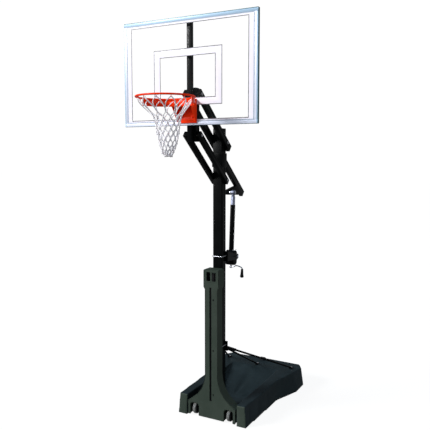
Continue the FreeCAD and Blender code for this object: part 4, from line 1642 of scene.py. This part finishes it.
@dataclass
class Studio:
    """Camera, floor, lights and the air round them."""

    eye: tuple[float, float, float] = (2.5574, -4.8457, 2.5648)
    yaw: float = 28.27
    pitch: float = 5.9
    lens: float = 47.69
    reach: float = 60.0

    def build(self) -> None:
        """Sets up the studio."""
        self._camera()
        self._floor()
        self._lights()
        self._air()

    def _camera(self) -> None:
        """The camera at the eye."""
        data = bpy.data.cameras.new("camera")
        data.lens = self.lens
        data.sensor_width = 36.0
        data.clip_end = 200.0
        camera = placed("camera", data)
        camera.location = self.eye
        camera.rotation_euler = (math.radians(90 - self.pitch), 0.0, math.radians(self.yaw))
        bpy.context.scene.camera = camera

    def _floor(self) -> None:
        """A plain pale floor."""
        work = bmesh.new()
        bmesh.ops.create_grid(work, x_segments=1, y_segments=1, size=self.reach)
        mesh = bpy.data.meshes.new("floor")
        work.to_mesh(mesh)
        work.free()
        mesh.transform(Matrix.Translation((0, 0, -0.0005)))
        floor = placed("floor", mesh)
        surface = Graph(self._paper("floor paper"))
        matt = surface.node("ShaderNodeBsdfDiffuse", {}, {"Color": (0.9, 0.9, 0.9, 1)})
        seen = Value(surface, surface.node("ShaderNodeLightPath").outputs["Is Camera Ray"])
        glow = surface.node("ShaderNodeEmission", {}, {"Color": (1, 1, 1, 1), "Strength": seen * 0.93 + 0.12})
        both = surface.node("ShaderNodeMixShader", {}, {0: 0.86, 1: matt, 2: glow})
        surface.node("ShaderNodeOutputMaterial", {}, {"Surface": both})
        floor.data.materials.append(bpy.data.materials["floor paper"])

    @staticmethod
    def _paper(name: str) -> bpy.types.NodeTree:
        """An empty material's node tree."""
        material = bpy.data.materials.new(name)
        material.use_nodes = True
        material.node_tree.nodes.clear()
        return material.node_tree

    def _sun(self, name: str, energy: float, softness: float, azimuth: float, height: float,
             tint: Colour = (1, 1, 1)) -> None:
        """One soft light from far away.

        Args:
            name: The light's name.
            energy: Its strength.
            softness: Its apparent size in degrees.
            azimuth: Where it comes from, in degrees from -Y towards +X.
            height: Its height in degrees.
            tint: Its colour.
        """
        data = bpy.data.lights.new(name, "SUN")
        data.color = tint
        data.energy = energy
        data.angle = math.radians(softness)
        lamp = placed(name, data)
        turn, rise = math.radians(azimuth), math.radians(height)
        source = Vector((math.sin(turn) * math.cos(rise), -math.cos(turn) * math.cos(rise), math.sin(rise)))
        lamp.rotation_euler = source.to_track_quat("Z", "Y").to_euler()

    def _lights(self) -> None:
        """A key light from the front left, a cool one from above and a weak one from the right."""
        self._sun("key", 4.1, 20.0, -44.0, 26.0)
        self._sun("top", 0.9, 40.0, 20.0, 75.0, (0.60, 0.80, 1.0))
        self._sun("fill", 0.5, 30.0, 82.0, 16.0)

    def _air(self) -> None:
        """A pale surround that lights softly."""
        scene = bpy.context.scene
        scene.view_settings.view_transform = "Standard"
        world = bpy.data.worlds.new("air")
        world.use_nodes = True
        world.node_tree.nodes.clear()
        graph = Graph(world.node_tree)
        seen = Value(graph, graph.node("ShaderNodeLightPath").outputs["Is Camera Ray"])
        strength = seen * 0.86 + 0.16
        pale = graph.node("ShaderNodeBackground", {}, {"Color": (1, 1, 1, 1), "Strength": strength})
        graph.node("ShaderNodeOutputWorld", {}, {"Surface": pale})
        scene.world = world


def main() -> None:
    """Builds the hoop and the studio."""
    logging.basicConfig(level=logging.INFO, format="%(name)s: %(message)s")
    parts: list[SubAssembly] = [
        Board(), Rim(), Net(), Arms(), Post(), ScrewLift(), BaseTank(), FillerCap(), Wheels(), Guard(),
    ]
    for part in parts:
        LOG.info("building %s", type(part).__name__)
        part.build()
    Studio().build()


if __name__ == "__main__":
    main()
